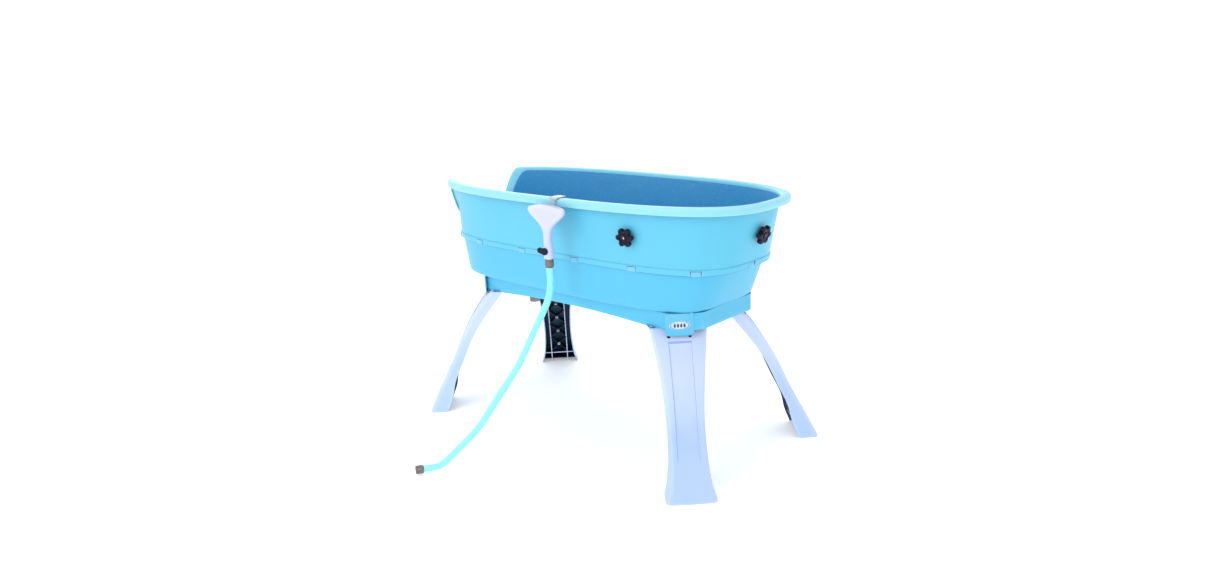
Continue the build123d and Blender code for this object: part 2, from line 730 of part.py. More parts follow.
with BuildPart() as bolt_washers:
    for plane in knob_planes.values():
        with BuildSketch(plane.offset(KNOB_START - WASHER_T - 0.3)):
            Circle(WASHER_R)
            Circle(BOLT_HOLE_R, mode=Mode.SUBTRACT)
        extrude(amount=WASHER_T)
finish("bolt_washers", bolt_washers)

with BuildPart() as bolt_seals:
    for plane in knob_planes.values():
        with BuildSketch(plane.offset(BOLT_BACK + 0.2)):
            Circle(WASHER_R)
            Circle(BOLT_HOLE_R, mode=Mode.SUBTRACT)
        extrude(amount=SEAL_T)
finish("bolt_seals", bolt_seals)


# ---------------------------------------------------------------- tethers and snaps
def hang_plane(plane):
    """Plane through a bolt's eye: x along the wall, y up it, origin at the eye."""
    return plane.offset(EYE_CENTRE)


TETHER_TOP = -EYE_R - EYE_WIRE_R - 1.0
TETHER_BOTTOM = TETHER_TOP - TETHER_LENGTH
SNAP_EYE_Y = TETHER_BOTTOM - 1.0 - SNAP_EYE_HEIGHT / 2
SNAP_Y = SNAP_EYE_Y - SNAP_EYE_HEIGHT / 2 - 3.0 - SNAP_HEIGHT / 2
GATE_X = (SNAP_WIDTH - SNAP_WIRE) / 2
GATE_PIN_Y = SNAP_Y - 6.0
GATE_TOP_Y = GATE_PIN_Y + GATE_LENGTH

for side, wall in knob_planes.items():
    plane = hang_plane(wall)
    with BuildPart() as tether:
        with BuildSketch(plane.offset(-TETHER_T / 2)):
            with Locations((0, (TETHER_TOP + TETHER_BOTTOM) / 2)):
                RectangleRounded(TETHER_WIDTH, TETHER_LENGTH, 2)
        extrude(amount=TETHER_T)
    finish(f"tether_{side}", tether)

    with BuildPart() as snap_gate:
        with BuildSketch(plane.offset(-1.3)):
            with Locations((GATE_X, GATE_PIN_Y)):
                Circle(2.2)
            with Locations((GATE_X, (GATE_PIN_Y + GATE_TOP_Y) / 2)):
                Rectangle(3.2, GATE_LENGTH)
            with Locations((GATE_X, GATE_PIN_Y)):
                Circle(GATE_PIN_R + RUNNING_GAP, mode=Mode.SUBTRACT)
        extrude(amount=2.6)
    finish(f"snap_gate_{side}", snap_gate)

with BuildPart() as snap_hooks:
    for wall in knob_planes.values():
        plane = hang_plane(wall)
        with BuildSketch(plane.offset(-SNAP_T / 2)):
            with Locations((0, SNAP_Y)):
                RectangleRounded(SNAP_WIDTH, SNAP_HEIGHT, SNAP_WIDTH / 2 - 0.1)
                RectangleRounded(
                    SNAP_WIDTH - 2 * SNAP_WIRE, SNAP_HEIGHT - 2 * SNAP_WIRE,
                    SNAP_WIDTH / 2 - SNAP_WIRE - 0.1, mode=Mode.SUBTRACT,
                )
            with Locations((0, SNAP_EYE_Y - SNAP_EYE_HEIGHT / 2 - 1.5)):
                Rectangle(6, 5)
            with Locations((0, SNAP_EYE_Y)):
                RectangleRounded(SNAP_EYE_WIDTH, SNAP_EYE_HEIGHT, 3)
                Rectangle(SNAP_EYE_WIDTH - 6, SNAP_EYE_HEIGHT - 5, mode=Mode.SUBTRACT)
        extrude(amount=SNAP_T)
        with BuildSketch(plane.offset(-1.6)):
            with Locations((GATE_X, (GATE_PIN_Y + GATE_TOP_Y) / 2 - 1)):
                Rectangle(SNAP_WIRE + 2, GATE_LENGTH + 5)
        extrude(amount=3.2, mode=Mode.SUBTRACT)
        with BuildSketch(plane.offset(-SNAP_T / 2)):
            with Locations((GATE_X, (GATE_PIN_Y + GATE_TOP_Y) / 2 + 2)):
                Rectangle(SNAP_WIRE + 2, GATE_LENGTH - 1)
        extrude(amount=SNAP_T, mode=Mode.SUBTRACT)
        with BuildSketch(plane.offset(-SNAP_T / 2)):
            with Locations((GATE_X, GATE_PIN_Y)):
                Circle(GATE_PIN_R + 0.02)
        extrude(amount=SNAP_T, mode=Mode.SUBTRACT)
finish("snap_hooks", snap_hooks)

with BuildPart() as gate_pins:
    for wall in knob_planes.values():
        with BuildSketch(hang_plane(wall).offset(-SNAP_T / 2)):
            with Locations((GATE_X, GATE_PIN_Y)):
                Circle(GATE_PIN_R)
        extrude(amount=SNAP_T)
finish("gate_pins", gate_pins)

# ---------------------------------------------------------------- wand hanger
rim_inner_y = upper_sizes(RIM_TOP - 35, WALL)[1]
rim_outer_y = upper_sizes(RIM_TOP, -RIM_OVERHANG)[1]
STRAP_IN = 2.0 - rim_inner_y
STRAP_OUT = -rim_outer_y - 1.0 - HANGER_T / 2
STRAP_TOP = RIM_TOP + 1.2 + HANGER_T / 2
TONGUE_Y = STRAP_OUT - 8.0

with BuildPart() as wand_hanger:
    with BuildSketch(Plane.YZ.offset(WAND_X - HANGER_WIDTH / 2)):
        with BuildLine():
            Polyline(
                (STRAP_IN, RIM_TOP - 35), (STRAP_IN, STRAP_TOP), (STRAP_OUT, STRAP_TOP),
                (STRAP_OUT, TONGUE_BOTTOM), (TONGUE_Y, TONGUE_BOTTOM),
            )
        trace(line_width=HANGER_T)
    extrude(amount=HANGER_WIDTH)
    with BuildSketch(Plane.YZ.offset(WAND_X - TONGUE_WIDTH / 2)):
        with BuildLine():
            Line((TONGUE_Y, TONGUE_BOTTOM), (TONGUE_Y, TONGUE_TOP))
        trace(line_width=HANGER_T)
    extrude(amount=TONGUE_WIDTH)
finish("wand_hanger", wand_hanger)


# ---------------------------------------------------------------- rinse wand
def head_outline(inset):
    """Fan of the wand's head, seen from the front, as a face at the wand's middle."""
    with BuildSketch(Plane.XZ.offset(-WAND_Y)) as face:
        with BuildLine():
            half = HEAD_HALF_WIDTH - inset
            neck = GRIP_R - 2 - inset
            ThreePointArc(
                (WAND_X - half, SHOULDER_Z), (WAND_X, WAND_TOP - inset), (WAND_X + half, SHOULDER_Z)
            )
            Line((WAND_X + half, SHOULDER_Z), (WAND_X + neck, NECK_Z - 8))
            Line((WAND_X + neck, NECK_Z - 8), (WAND_X - neck, NECK_Z - 8))
            Line((WAND_X - neck, NECK_Z - 8), (WAND_X - half, SHOULDER_Z))
        make_face()
        corners = face.vertices().sort_by(Axis.Y)[2:4]
        fillet(corners, 7)
    return face.sketch


with BuildPart() as wand_outside:
    extrude(head_outline(0), amount=HEAD_HALF_THICK, both=True)
    front_and_back = wand_outside.faces().filter_by(Axis.Y).edges()
    fillet(front_and_back, 4)
    with BuildSketch(Plane.XY.offset(WAND_BOTTOM)):
        with Locations((WAND_X, WAND_Y)):
            Circle(GRIP_R)
    extrude(amount=NECK_Z + 8 - WAND_BOTTOM)

with BuildPart() as wand_inside:
    extrude(head_outline(SHELL_T), amount=HEAD_HALF_THICK - SHELL_T, both=True)
    with BuildSketch(Plane.XY.offset(WAND_BOTTOM - 1)):
        with Locations((WAND_X, WAND_Y)):
            Circle(GRIP_R - SHELL_T)
    extrude(amount=NECK_Z - WAND_BOTTOM)

with BuildPart() as stem_hole:
    with BuildSketch(Plane.XZ.offset(-WAND_Y)):
        with Locations((WAND_X, VALVE_Z)):
            Circle(STEM_R + RUNNING_GAP)
    extrude(amount=GRIP_R + 2)

SPRAY_Z = 738.0
SPRAY_HALF = 40.0
PLATE_T = 1.5
with BuildPart() as wand_front:
    add(wand_outside.part)
    add(wand_inside.part, mode=Mode.SUBTRACT)
    add(stem_hole.part, mode=Mode.SUBTRACT)
    split(bisect_by=Plane.XZ.offset(-WAND_Y + 0.05), keep=Keep.TOP)
finish("wand_front", wand_front)

back_face = WAND_Y + HEAD_HALF_THICK
with BuildPart() as wand_back:
    add(wand_outside.part)
    add(wand_inside.part, mode=Mode.SUBTRACT)
    split(bisect_by=Plane.XZ.offset(-WAND_Y - 0.05), keep=Keep.BOTTOM)
    with BuildSketch(Plane.XZ.offset(-back_face)):
        with Locations((WAND_X, SPRAY_Z + 6)):
            SlotOverall(2 * SPRAY_HALF, 20)
    extrude(amount=SHELL_T + 1, mode=Mode.SUBTRACT)
    loop_deep = -back_face - TONGUE_Y + HANGER_T
    with BuildSketch(Plane.XY.offset(TONGUE_BOTTOM + 5)):
        with Locations((WAND_X, back_face)):
            Rectangle(TONGUE_WIDTH + 8, 2 * (TONGUE_Y - back_face) + HANGER_T + 5)
    extrude(amount=TONGUE_TOP - TONGUE_BOTTOM)
    with BuildSketch(Plane.XY.offset(TONGUE_BOTTOM)):
        with Locations((WAND_X, TONGUE_Y)):
            Rectangle(TONGUE_WIDTH + 1, HANGER_T + 0.8)
    extrude(amount=TONGUE_TOP + 0.6 - TONGUE_BOTTOM, mode=Mode.SUBTRACT)
    add(wand_inside.part, mode=Mode.SUBTRACT)
finish("wand_back", wand_back)

with BuildPart() as spray_plate:
    with BuildSketch(Plane.XZ.offset(-back_face - 0.3)):
        with Locations((WAND_X, SPRAY_Z + 6)):
            SlotOverall(2 * SPRAY_HALF - 0.4, 19.6)
            with GridLocations(7, 6, 9, 2):
                Circle(0.9, mode=Mode.SUBTRACT)
    extrude(amount=PLATE_T + 1)
finish("spray_plate", spray_plate)

with BuildPart() as valve_cartridge:
    with BuildSketch(Plane.XY.offset(VALVE_Z - CARTRIDGE_HALF)):
        with Locations((WAND_X, WAND_Y)):
            Circle(CARTRIDGE_R)
    extrude(amount=2 * CARTRIDGE_HALF)
    with BuildSketch(Plane.XY.offset(VALVE_Z - CARTRIDGE_HALF)):
        with Locations((WAND_X, WAND_Y)):
            Circle(BALL_BORE_R)
    extrude(amount=2 * CARTRIDGE_HALF, mode=Mode.SUBTRACT)
    with Locations((WAND_X, WAND_Y, VALVE_Z)):
        Sphere(BALL_R + 0.08, mode=Mode.SUBTRACT)
    add(stem_hole.part, mode=Mode.SUBTRACT)
finish("valve_cartridge", valve_cartridge)

STEM_FRONT = GRIP_R + 0.6
with BuildPart() as valve_ball:
    with Locations((WAND_X, WAND_Y, VALVE_Z)):
        Sphere(BALL_R)
    with BuildSketch(Plane.XZ.offset(-WAND_Y)):
        with Locations((WAND_X, VALVE_Z)):
            Circle(STEM_R)
    extrude(amount=STEM_FRONT + LEVER_T - 1)
    with BuildSketch(Plane.XY.offset(VALVE_Z - BALL_R)):
        with Locations((WAND_X, WAND_Y)):
            Circle(BALL_BORE_R)
    extrude(amount=2 * BALL_R, mode=Mode.SUBTRACT)
finish("valve_ball", valve_ball)

with BuildPart() as valve_lever:
    with BuildSketch(Plane.XZ.offset(-WAND_Y + STEM_FRONT)):
        with Locations((WAND_X, VALVE_Z)):
            Circle(LEVER_R)
        with BuildLine():
            Polyline(
                (WAND_X, VALVE_Z + LEVER_R - 1), (WAND_X - LEVER_REACH, VALVE_Z + 6),
                (WAND_X - LEVER_REACH - 2, VALVE_Z), (WAND_X - LEVER_REACH, VALVE_Z - 2),
                (WAND_X, VALVE_Z - LEVER_R + 1), close=True,
            )
        make_face()
        with Locations((WAND_X, VALVE_Z)):
            Circle(STEM_R + 0.02, mode=Mode.SUBTRACT)
    extrude(amount=LEVER_T)
    fillet(valve_lever.faces().sort_by(Axis.Y)[0].outer_wire().edges(), 1.0)
finish("valve_lever", valve_lever)

with BuildPart() as lever_screw:
    with BuildSketch(Plane.XZ.offset(-WAND_Y + STEM_FRONT + LEVER_T + 0.1)):
        with Locations((WAND_X, VALVE_Z)):
            Circle(STEM_R + 1)
    extrude(amount=1.6)
    fillet(lever_screw.faces().sort_by(Axis.Y)[0].edges(), 0.8)
finish("lever_screw", lever_screw)

with BuildPart() as wand_tail:
    with BuildSketch(Plane.XY.offset(WAND_BOTTOM + 0.5)):
        with Locations((WAND_X, WAND_Y)):
            Circle(GRIP_R - SHELL_T - 0.05)
    extrude(amount=VALVE_Z - CARTRIDGE_HALF - 0.3 - WAND_BOTTOM - 0.5)
    with BuildSketch(Plane.XY.offset(WAND_BOTTOM + 1)):
        with Locations((WAND_X, WAND_Y)):
            Circle(TAIL_R)
    extrude(amount=-(WAND_BOTTOM + 1 - NUT_BOTTOM - NUT_LIP - 6))
    with BuildSketch(Plane.XY.offset(NUT_BOTTOM)):
        with Locations((WAND_X, WAND_Y)):
            Circle(BALL_BORE_R)
    extrude(amount=2 * CARTRIDGE_HALF + 10, mode=Mode.SUBTRACT)
finish("wand_tail", wand_tail)

# ---------------------------------------------------------------- hose and couplings
fall = Vector(HOSE_END_X - WAND_X, HOSE_END_Y - WAND_Y, 0)
HOSE_REACH = fall.length
fall_dir = fall.normalized()
HOSE_PLANE = Plane(
    origin=(WAND_X, WAND_Y, 0), x_dir=fall_dir, z_dir=fall_dir.cross(Vector(0, 0, 1))
)
NEAR_COUPLING = Plane(origin=(WAND_X, WAND_Y, NUT_BOTTOM), x_dir=(1, 0, 0), z_dir=(0, 0, 1))
COUPLING = NUT_TOP - NUT_BOTTOM
FAR_COUPLING = Plane(
    origin=HOSE_PLANE.from_local_coords(Vector(HOSE_REACH, HOSE_END_Z, 0)),
    x_dir=(0, 0, 1), z_dir=fall_dir,
)


def nut_on(plane):
    """Swivel nut: lip round the barb at the plane, threaded bore beyond it."""
    with BuildPart() as nut:
        with BuildSketch(plane):
            RegularPolygon(NUT_R, 12)
        extrude(amount=COUPLING)
        chamfer(nut.edges().filter_by(GeomType.LINE).group_by(Axis(plane.origin, plane.z_dir))[0], 0.8)
        with BuildSketch(plane.offset(NUT_LIP)):
            Circle(NUT_BORE_R)
        extrude(amount=COUPLING, mode=Mode.SUBTRACT)
        with BuildSketch(plane.offset(NUT_LIP)):
            Circle(NUT_BORE_R + 0.5)
        extrude(amount=NUT_UNDERCUT, mode=Mode.SUBTRACT)
        with BuildSketch(plane):
            Circle(BARB_R + 0.7)
        extrude(amount=NUT_LIP, mode=Mode.SUBTRACT)
    return nut


def barb_on(plane):
    """Barbed insert: flange inside the nut, stem inside the hose."""
    with BuildPart() as barb:
        with BuildSketch(plane.offset(NUT_LIP + 0.3)):
            Circle(BARB_FLANGE_R)
        extrude(amount=BARB_FLANGE_T)
        with BuildSketch(plane.offset(NUT_LIP + 0.3)):
            Circle(BARB_R)
        extrude(amount=-BARB_LENGTH)
        with BuildSketch(plane.offset(-BARB_LENGTH)):
            Circle(BARB_BORE_R)
        extrude(amount=2 * BARB_LENGTH, mode=Mode.SUBTRACT)
    return barb


def washer_on(plane):
    """Rubber washer on the barb's flange."""
    with BuildPart() as washer:
        with BuildSketch(plane.offset(NUT_LIP + 0.3 + BARB_FLANGE_T + 0.2)):
            Circle(BARB_FLANGE_R)
            Circle(BARB_BORE_R, mode=Mode.SUBTRACT)
        extrude(amount=SEAL_T)
    return washer


for side, plane in (("wand", NEAR_COUPLING), ("supply", FAR_COUPLING)):
    finish(f"{side}_nut", nut_on(plane))
    finish(f"{side}_barb", barb_on(plane))
    finish(f"{side}_washer", washer_on(plane))

with BuildLine(HOSE_PLANE) as hose_line:
    FilletPolyline(
        (0, NUT_BOTTOM - 0.3), *HOSE_CORNERS, (HOSE_REACH - 0.3, HOSE_END_Z), radius=HOSE_BEND_R
    )
with BuildPart() as hose:
    start = Plane(origin=hose_line.line @ 0, x_dir=(1, 0, 0), z_dir=(0, 0, -1))
    with BuildSketch(start):
        Circle(HOSE_R)
    sweep(path=hose_line.wire())
    with BuildSketch(start):
        Circle(HOSE_BORE_R)
    sweep(path=hose_line.wire(), mode=Mode.SUBTRACT)
finish("hose", hose)
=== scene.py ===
"""Looks of the raised pet bath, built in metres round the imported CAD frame."""

import json
import math

import bmesh
import bpy
import numpy as np
from mathutils import Matrix, Vector


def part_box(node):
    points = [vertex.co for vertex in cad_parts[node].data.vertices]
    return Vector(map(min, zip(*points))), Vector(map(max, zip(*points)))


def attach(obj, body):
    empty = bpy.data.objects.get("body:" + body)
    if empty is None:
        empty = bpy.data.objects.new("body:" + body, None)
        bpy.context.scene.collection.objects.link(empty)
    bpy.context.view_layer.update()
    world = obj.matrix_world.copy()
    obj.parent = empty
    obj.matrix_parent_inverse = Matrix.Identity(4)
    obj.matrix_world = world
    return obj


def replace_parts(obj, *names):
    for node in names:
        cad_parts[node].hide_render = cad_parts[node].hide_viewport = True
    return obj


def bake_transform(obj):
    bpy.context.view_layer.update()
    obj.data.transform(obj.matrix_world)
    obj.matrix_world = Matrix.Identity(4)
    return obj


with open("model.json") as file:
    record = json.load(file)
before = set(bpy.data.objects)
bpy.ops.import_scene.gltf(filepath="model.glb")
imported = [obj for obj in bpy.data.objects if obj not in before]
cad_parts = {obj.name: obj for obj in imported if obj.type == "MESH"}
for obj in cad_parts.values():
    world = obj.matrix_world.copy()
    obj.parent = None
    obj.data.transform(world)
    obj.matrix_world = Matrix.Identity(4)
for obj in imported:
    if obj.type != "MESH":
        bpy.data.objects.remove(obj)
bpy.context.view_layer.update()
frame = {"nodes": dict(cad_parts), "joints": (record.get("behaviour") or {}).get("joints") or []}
NODES = frame["nodes"]


def metres(*rows):
    """Rows of millimetres as tuples of metres."""
    return [tuple(value / 1000 for value in row) for row in rows]


# ---- driving sizes, metres
SEAM_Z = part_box("upper_tub")[0][2]
RIM_HALF_X, RIM_HALF_Y, RIM_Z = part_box("upper_tub")[1]
BAND = 0.018                     # height of the seam band
WALL = 0.004
OVERHANG = 0.027                 # of the rolled rim beyond the wall
SEAM_OVAL = (0.566, 0.224, 3.58, -0.013)     # half length, half width, exponent, shift
WALL_FOOT = (0.563, 0.221, 3.58, -0.013)
WALL_HEAD = (RIM_HALF_X - OVERHANG, RIM_HALF_Y - OVERHANG, 2.74, 0.0)
LOWER_HEAD = (0.553, 0.216, 3.6, -0.019)
LOWER_FOOT = (0.508, 0.210, 4.2, -0.027)
BASIN_HEAD = (0.434, 0.158, 3.0, 0.009)
BASIN_FOOT = (0.422, 0.146, 3.0, 0.009)
PAN_Z = 0.472
LEDGE_Z = 0.476
FLOOR_Z = 0.444
SKIRT_Z = 0.421
SKIRT_X = (-0.454, 0.472)
SKIRT_MIDDLE = (SKIRT_X[0] + SKIRT_X[1]) / 2
SKIRT_HALF_X, SKIRT_HALF_Y = 0.463, 0.178
SKIRT_CORNER = 0.588             # |x| + |y| on the right corner faces
SKIRT_ARCH = (0.300, 0.010)
NOTCH = (0.110, 0.092, 0.158)    # depth, half width of its bottom, half width at the rim
TAB_ANGLES = (0, 40, 60, 80, 103, 123, 142, 180, -142, -123, -103, -80, -60, -40)
COLUMNS = 360

FOOT = Vector((0.550, -0.288, 0.0))
# millimetres: height on a leg with its outer face, its inner edge or its half width
LEG_OUT = metres((0, 32), (50, 8), (100, -18), (166, -52), (273, -102), (374, -167), (438, -222))
LEG_IN = metres((0, -28), (50, -48), (100, -60), (166, -90), (273, -141), (374, -212), (438, -262))
LEG_HALF = metres((0, 71), (30, 62), (80, 55), (150, 52), (220, 54), (325, 66), (438, 86))
LEG_WALL = 0.0055
LEG_TOP = 0.438
DIAGONAL = math.sqrt(0.5)
X_AXIS, Y_AXIS, UP = Vector((1, 0, 0)), Vector((0, 1, 0)), Vector((0, 0, 1))


# ---- materials
def new_material(name):
    """Node material with its principled shader and a coordinate source."""
    material = bpy.data.materials.new(name)
    material.use_nodes = True
    tree = material.node_tree
    return material, tree, tree.nodes["Principled BSDF"], add_node(tree, "TexCoord").outputs["Object"]


def fill(tree, node, inputs):
    """Each input linked to an output, or given a value; a colour gets its alpha."""
    for key, value in inputs.items():
        socket = node.inputs[key]
        if isinstance(value, bpy.types.NodeSocket):
            tree.links.new(value, socket)
        else:
            socket.default_value = (*value, 1.0) if socket.type == "RGBA" else value


def add_node(tree, kind, inputs=None, **settings):
    node = tree.nodes.new("ShaderNode" + kind)
    for key, value in settings.items():
        setattr(node, key, value)
    fill(tree, node, inputs or {})
    return node


def noise(tree, vector, scale, detail=4.0):
    inputs = {"Scale": scale, "Detail": detail, "Roughness": 0.55, "Vector": vector}
    return add_node(tree, "TexNoise", inputs).outputs["Fac"]


def waves(tree, vector, direction, scale, distortion):
    inputs = {"Scale": scale, "Distortion": distortion, "Vector": vector}
    return add_node(tree, "TexWave", inputs, bands_direction=direction).outputs["Fac"]


def spread(tree, value, low, high, from_low=0.3, from_high=0.7):
    """Value remapped to a new range."""
    inputs = {"From Min": from_low, "From Max": from_high, "To Min": low, "To Max": high, "Value": value}
    return add_node(tree, "MapRange", inputs).outputs["Result"]


def mixed(tree, factor, first, second):
    """Colour between two colours or colour sockets."""
    return add_node(tree, "Mix", {6: first, 7: second, 0: factor}, data_type="RGBA").outputs[2]


def bump(tree, height, strength, distance):
    inputs = {"Strength": strength, "Distance": distance, "Height": height}
    return add_node(tree, "Bump", inputs).outputs["Normal"]


def edge_wear_and_highlight(tree):
    """High where the surface is convex: for worn edges, and for a painted highlight on edges that catch the light."""
    return spread(tree, add_node(tree, "NewGeometry").outputs["Pointiness"], 0.0, 1.0, 0.50, 0.58)


def plastic(name, colour, deep, rough, grain=900.0, cloud=3.0, wear_and_highlight=None, specular=0.5, top=None):
    """Moulded plastic: cloudy colour, fine moulded grain, uneven gloss, paler edges (worn, and a painted highlight), a
    paler top (painted light).
    """
    material, tree, shader, coords = new_material(name)
    base = mixed(tree, spread(tree, noise(tree, coords, cloud), 0.0, 1.0), colour, deep)
    # A paler top is painted light: the upper part of the piece made lighter, blending in between heights 0.16 and 0.30
    # m.
    if top:
        parts = add_node(tree, "SeparateXYZ", {0: coords})
        base = mixed(tree, spread(tree, parts.outputs["Z"], 0.0, 1.0, 0.16, 0.30), base, top)
    # Paler convex edges: worn edges and painted highlight.
    if wear_and_highlight:
        base = mixed(tree, edge_wear_and_highlight(tree), base, wear_and_highlight)
    fill(tree, shader, {
        "Base Color": base,
        "Roughness": spread(tree, noise(tree, coords, 14.0), rough - 0.05, rough + 0.07),
        "Normal": bump(tree, noise(tree, coords, grain, detail=2.0), 0.35, 0.00015),
        "Specular IOR Level": specular,
    })
    return material


def metal(name, colour, dark, rough):
    """Brushed or machined metal: streaked roughness, fine scratches, stained lows."""
    material, tree, shader, coords = new_material(name)
    mapping = add_node(tree, "Mapping", {"Scale": (1.0, 1.0, 60.0), "Vector": coords})
    streaks = noise(tree, mapping.outputs["Vector"], 90.0, detail=3.0)
    fill(tree, shader, {
        "Base Color": mixed(tree, spread(tree, noise(tree, coords, 120.0), 0.0, 1.0), colour, dark),
        "Roughness": spread(tree, streaks, rough - 0.08, rough + 0.10),
        "Metallic": 1.0,
        "Normal": bump(tree, streaks, 0.25, 0.00008),
    })
    return material


def rubber(name, colour, dust):
    """Matte rubber with a dusty bloom."""
    material, tree, shader, coords = new_material(name)
    fill(tree, shader, {
        "Base Color": mixed(tree, spread(tree, noise(tree, coords, 35.0), 0.0, 0.35), colour, dust),
        "Roughness": 0.72,
        "Normal": bump(tree, noise(tree, coords, 1400.0, detail=1.0), 0.3, 0.0002),
    })
    return material


def tub_plastic(name, colour, deep, inner):
    """Shell plastic: bright outside; on the faces turned into the tub a deeper colour, which is painted shade,
    speckled; paler convex edges, a painted highlight.
    """
    material, tree, shader, coords = new_material(name)
    level = add_node(tree, "VectorMath", {0: coords, 1: (1.0, 4.0, 0.0)}, operation="MULTIPLY")
    normal = add_node(tree, "NewGeometry").outputs["True Normal"]
    away = add_node(tree, "VectorMath", {0: normal, 1: level.outputs["Vector"]}, operation="DOT_PRODUCT")
    # Faces turned inward get a darker colour: painted shade.
    inside = spread(tree, away.outputs["Value"], 1.0, 0.0, -0.25, 0.05)
    outer = mixed(tree, spread(tree, noise(tree, coords, 2.5), 0.0, 1.0), colour, deep)
    speckle = spread(tree, noise(tree, coords, 260.0, detail=3.0), 0.0, 1.0, 0.52, 0.66)
    cavity_shade_speckled = mixed(tree, 0.35, inner, mixed(tree, speckle, inner, colour))
    # Convex edges mixed towards a paler colour: painted highlight.
    edges = spread(tree, edge_wear_and_highlight(tree), 0.0, 0.35)
    edge_highlight_colour = tuple(min(1.0, 0.25 + 0.8 * c) for c in colour)
    fill(tree, shader, {
        "Base Color": mixed(tree, edges, mixed(tree, inside, outer, cavity_shade_speckled), edge_highlight_colour),
        "Roughness": spread(tree, noise(tree, coords, 9.0), 0.30, 0.42),
        "Normal": bump(tree, noise(tree, coords, 420.0, detail=3.0), 0.28, 0.00025),
        "Specular IOR Level": 0.36,
        "Coat Weight": 0.06,
        "Coat Roughness": 0.25,
    })
    return material


def webbing(name):
    """Black woven webbing: fine diagonal weave across a ribbed warp."""
    material, tree, shader, coords = new_material(name)
    warp, weft = (waves(tree, coords, direction, scale, 0.6) for direction, scale in (("X", 260.0), ("Z", 340.0)))
    weave = add_node(tree, "Math", {0: warp, 1: weft}, operation="MULTIPLY").outputs["Value"]
    fill(tree, shader, {
        "Base Color": mixed(tree, weave, (0.012, 0.012, 0.014), (0.050, 0.050, 0.055)),
        "Roughness": 0.85,
        "Sheen Weight": 0.3,
        "Normal": bump(tree, weave, 0.6, 0.0004),
    })
    return material


def vinyl(name, colour, deep):
    """Soft translucent hose wall with a faint woven layer inside."""
    material, tree, shader, coords = new_material(name)
    woven = spread(tree, waves(tree, coords, "Z", 55.0, 1.5), 0.0, 0.18, 0.2, 0.8)
    clouds = spread(tree, noise(tree, coords, 18.0), 0.0, 0.6)
    fill(tree, shader, {
        "Base Color": mixed(tree, clouds, mixed(tree, woven, colour, deep), tuple(0.93 * c for c in colour)),
        "Roughness": spread(tree, noise(tree, coords, 25.0), 0.22, 0.34),
        "Subsurface Weight": 0.35,
        "Subsurface Radius": (0.004, 0.010, 0.012),
        "Normal": bump(tree, noise(tree, coords, 220.0, detail=2.0), 0.2, 0.0003),
    })
    return material


def clear_plastic(name):
    """Cloudy clear strip."""
    material, tree, shader, coords = new_material(name)
    clouds = spread(tree, noise(tree, coords, 40.0), 0.0, 1.0)
    fill(tree, shader, {
        "Base Color": mixed(tree, clouds, (0.72, 0.84, 0.92), (0.64, 0.78, 0.88)),
        "Roughness": spread(tree, noise(tree, coords, 30.0), 0.12, 0.24),
        "Transmission Weight": 0.55,
        "IOR": 1.42,
        "Normal": bump(tree, noise(tree, coords, 300.0), 0.15, 0.0002),
    })
    return material


# Third colour of each shell plastic: the painted shade inside the tub.
UPPER = tub_plastic("upper_shell_plastic", (0.114, 0.518, 0.715), (0.100, 0.490, 0.690), (0.046, 0.285, 0.560))
# Paler copy of the shell plastic for the rim: painted highlight.
RIM_HIGHLIGHT = tub_plastic("rim_plastic_painted_highlight", (0.285, 0.660, 0.750), (0.262, 0.640, 0.730), (0.170, 0.540, 0.700))
LOWER = tub_plastic("lower_shell_plastic", (0.089, 0.485, 0.715), (0.078, 0.455, 0.690), (0.038, 0.245, 0.510))
GROOVE = plastic("groove_shadow", (0.012, 0.110, 0.190), (0.018, 0.130, 0.215), 0.55)
SEAM_SHADE = plastic("seam_shade", (0.030, 0.230, 0.370), (0.026, 0.210, 0.345), 0.55)
# The leg's paler upper part is painted light; its paler convex edges are worn edges and painted highlight.
LEG = plastic(
    "leg_plastic", (0.470, 0.610, 0.920), (0.400, 0.535, 0.880), 0.42, grain=700.0,
    wear_and_highlight=(0.56, 0.68, 0.93), top=(0.56, 0.66, 0.88))
# Darker line on the panel's step and top edge: painted shade.
LEG_PANEL_SHADE = plastic("leg_panel_edge_painted_shade", (0.300, 0.400, 0.740), (0.260, 0.360, 0.700), 0.48, grain=700.0)
# Dark colour for the faces inside the leg's channel: painted shade.
LEG_CHANNEL_SHADE = plastic(
    "leg_channel_painted_shade", (0.045, 0.085, 0.120), (0.026, 0.055, 0.088), 0.45, grain=700.0, specular=0.2)
# Near-black colour for the cross ribs inside the channel: painted shade.
LEG_RIB_SHADE = plastic(
    "leg_cross_rib_painted_shade", (0.006, 0.014, 0.024), (0.010, 0.020, 0.032), 0.45, grain=700.0, specular=0.15)
BLACK = plastic(
    "black_plastic", (0.004, 0.004, 0.012), (0.008, 0.007, 0.018), 0.30, grain=1500.0,
    wear_and_highlight=(0.030, 0.028, 0.050), specular=0.12)
WAND = plastic(
    "wand_plastic", (0.590, 0.610, 0.780), (0.550, 0.570, 0.750), 0.33, grain=1500.0, wear_and_highlight=(0.68, 0.70, 0.84))
GREY = plastic(
    "drain_plastic", (0.290, 0.270, 0.250), (0.240, 0.225, 0.210), 0.50, cloud=30.0, wear_and_highlight=(0.45, 0.43, 0.41))
NYLON = plastic("nylon", (0.800, 0.790, 0.750), (0.740, 0.730, 0.690), 0.45, cloud=60.0)
BADGE = plastic("badge_plastic", (0.520, 0.700, 0.860), (0.470, 0.650, 0.830), 0.25, wear_and_highlight=(0.75, 0.85, 0.95))
BADGE_INK = plastic("badge_ink", (0.030, 0.055, 0.110), (0.022, 0.045, 0.095), 0.35)
THREAD = plastic("stitch_thread", (0.300, 0.300, 0.320), (0.200, 0.200, 0.220), 0.70, grain=2500.0)
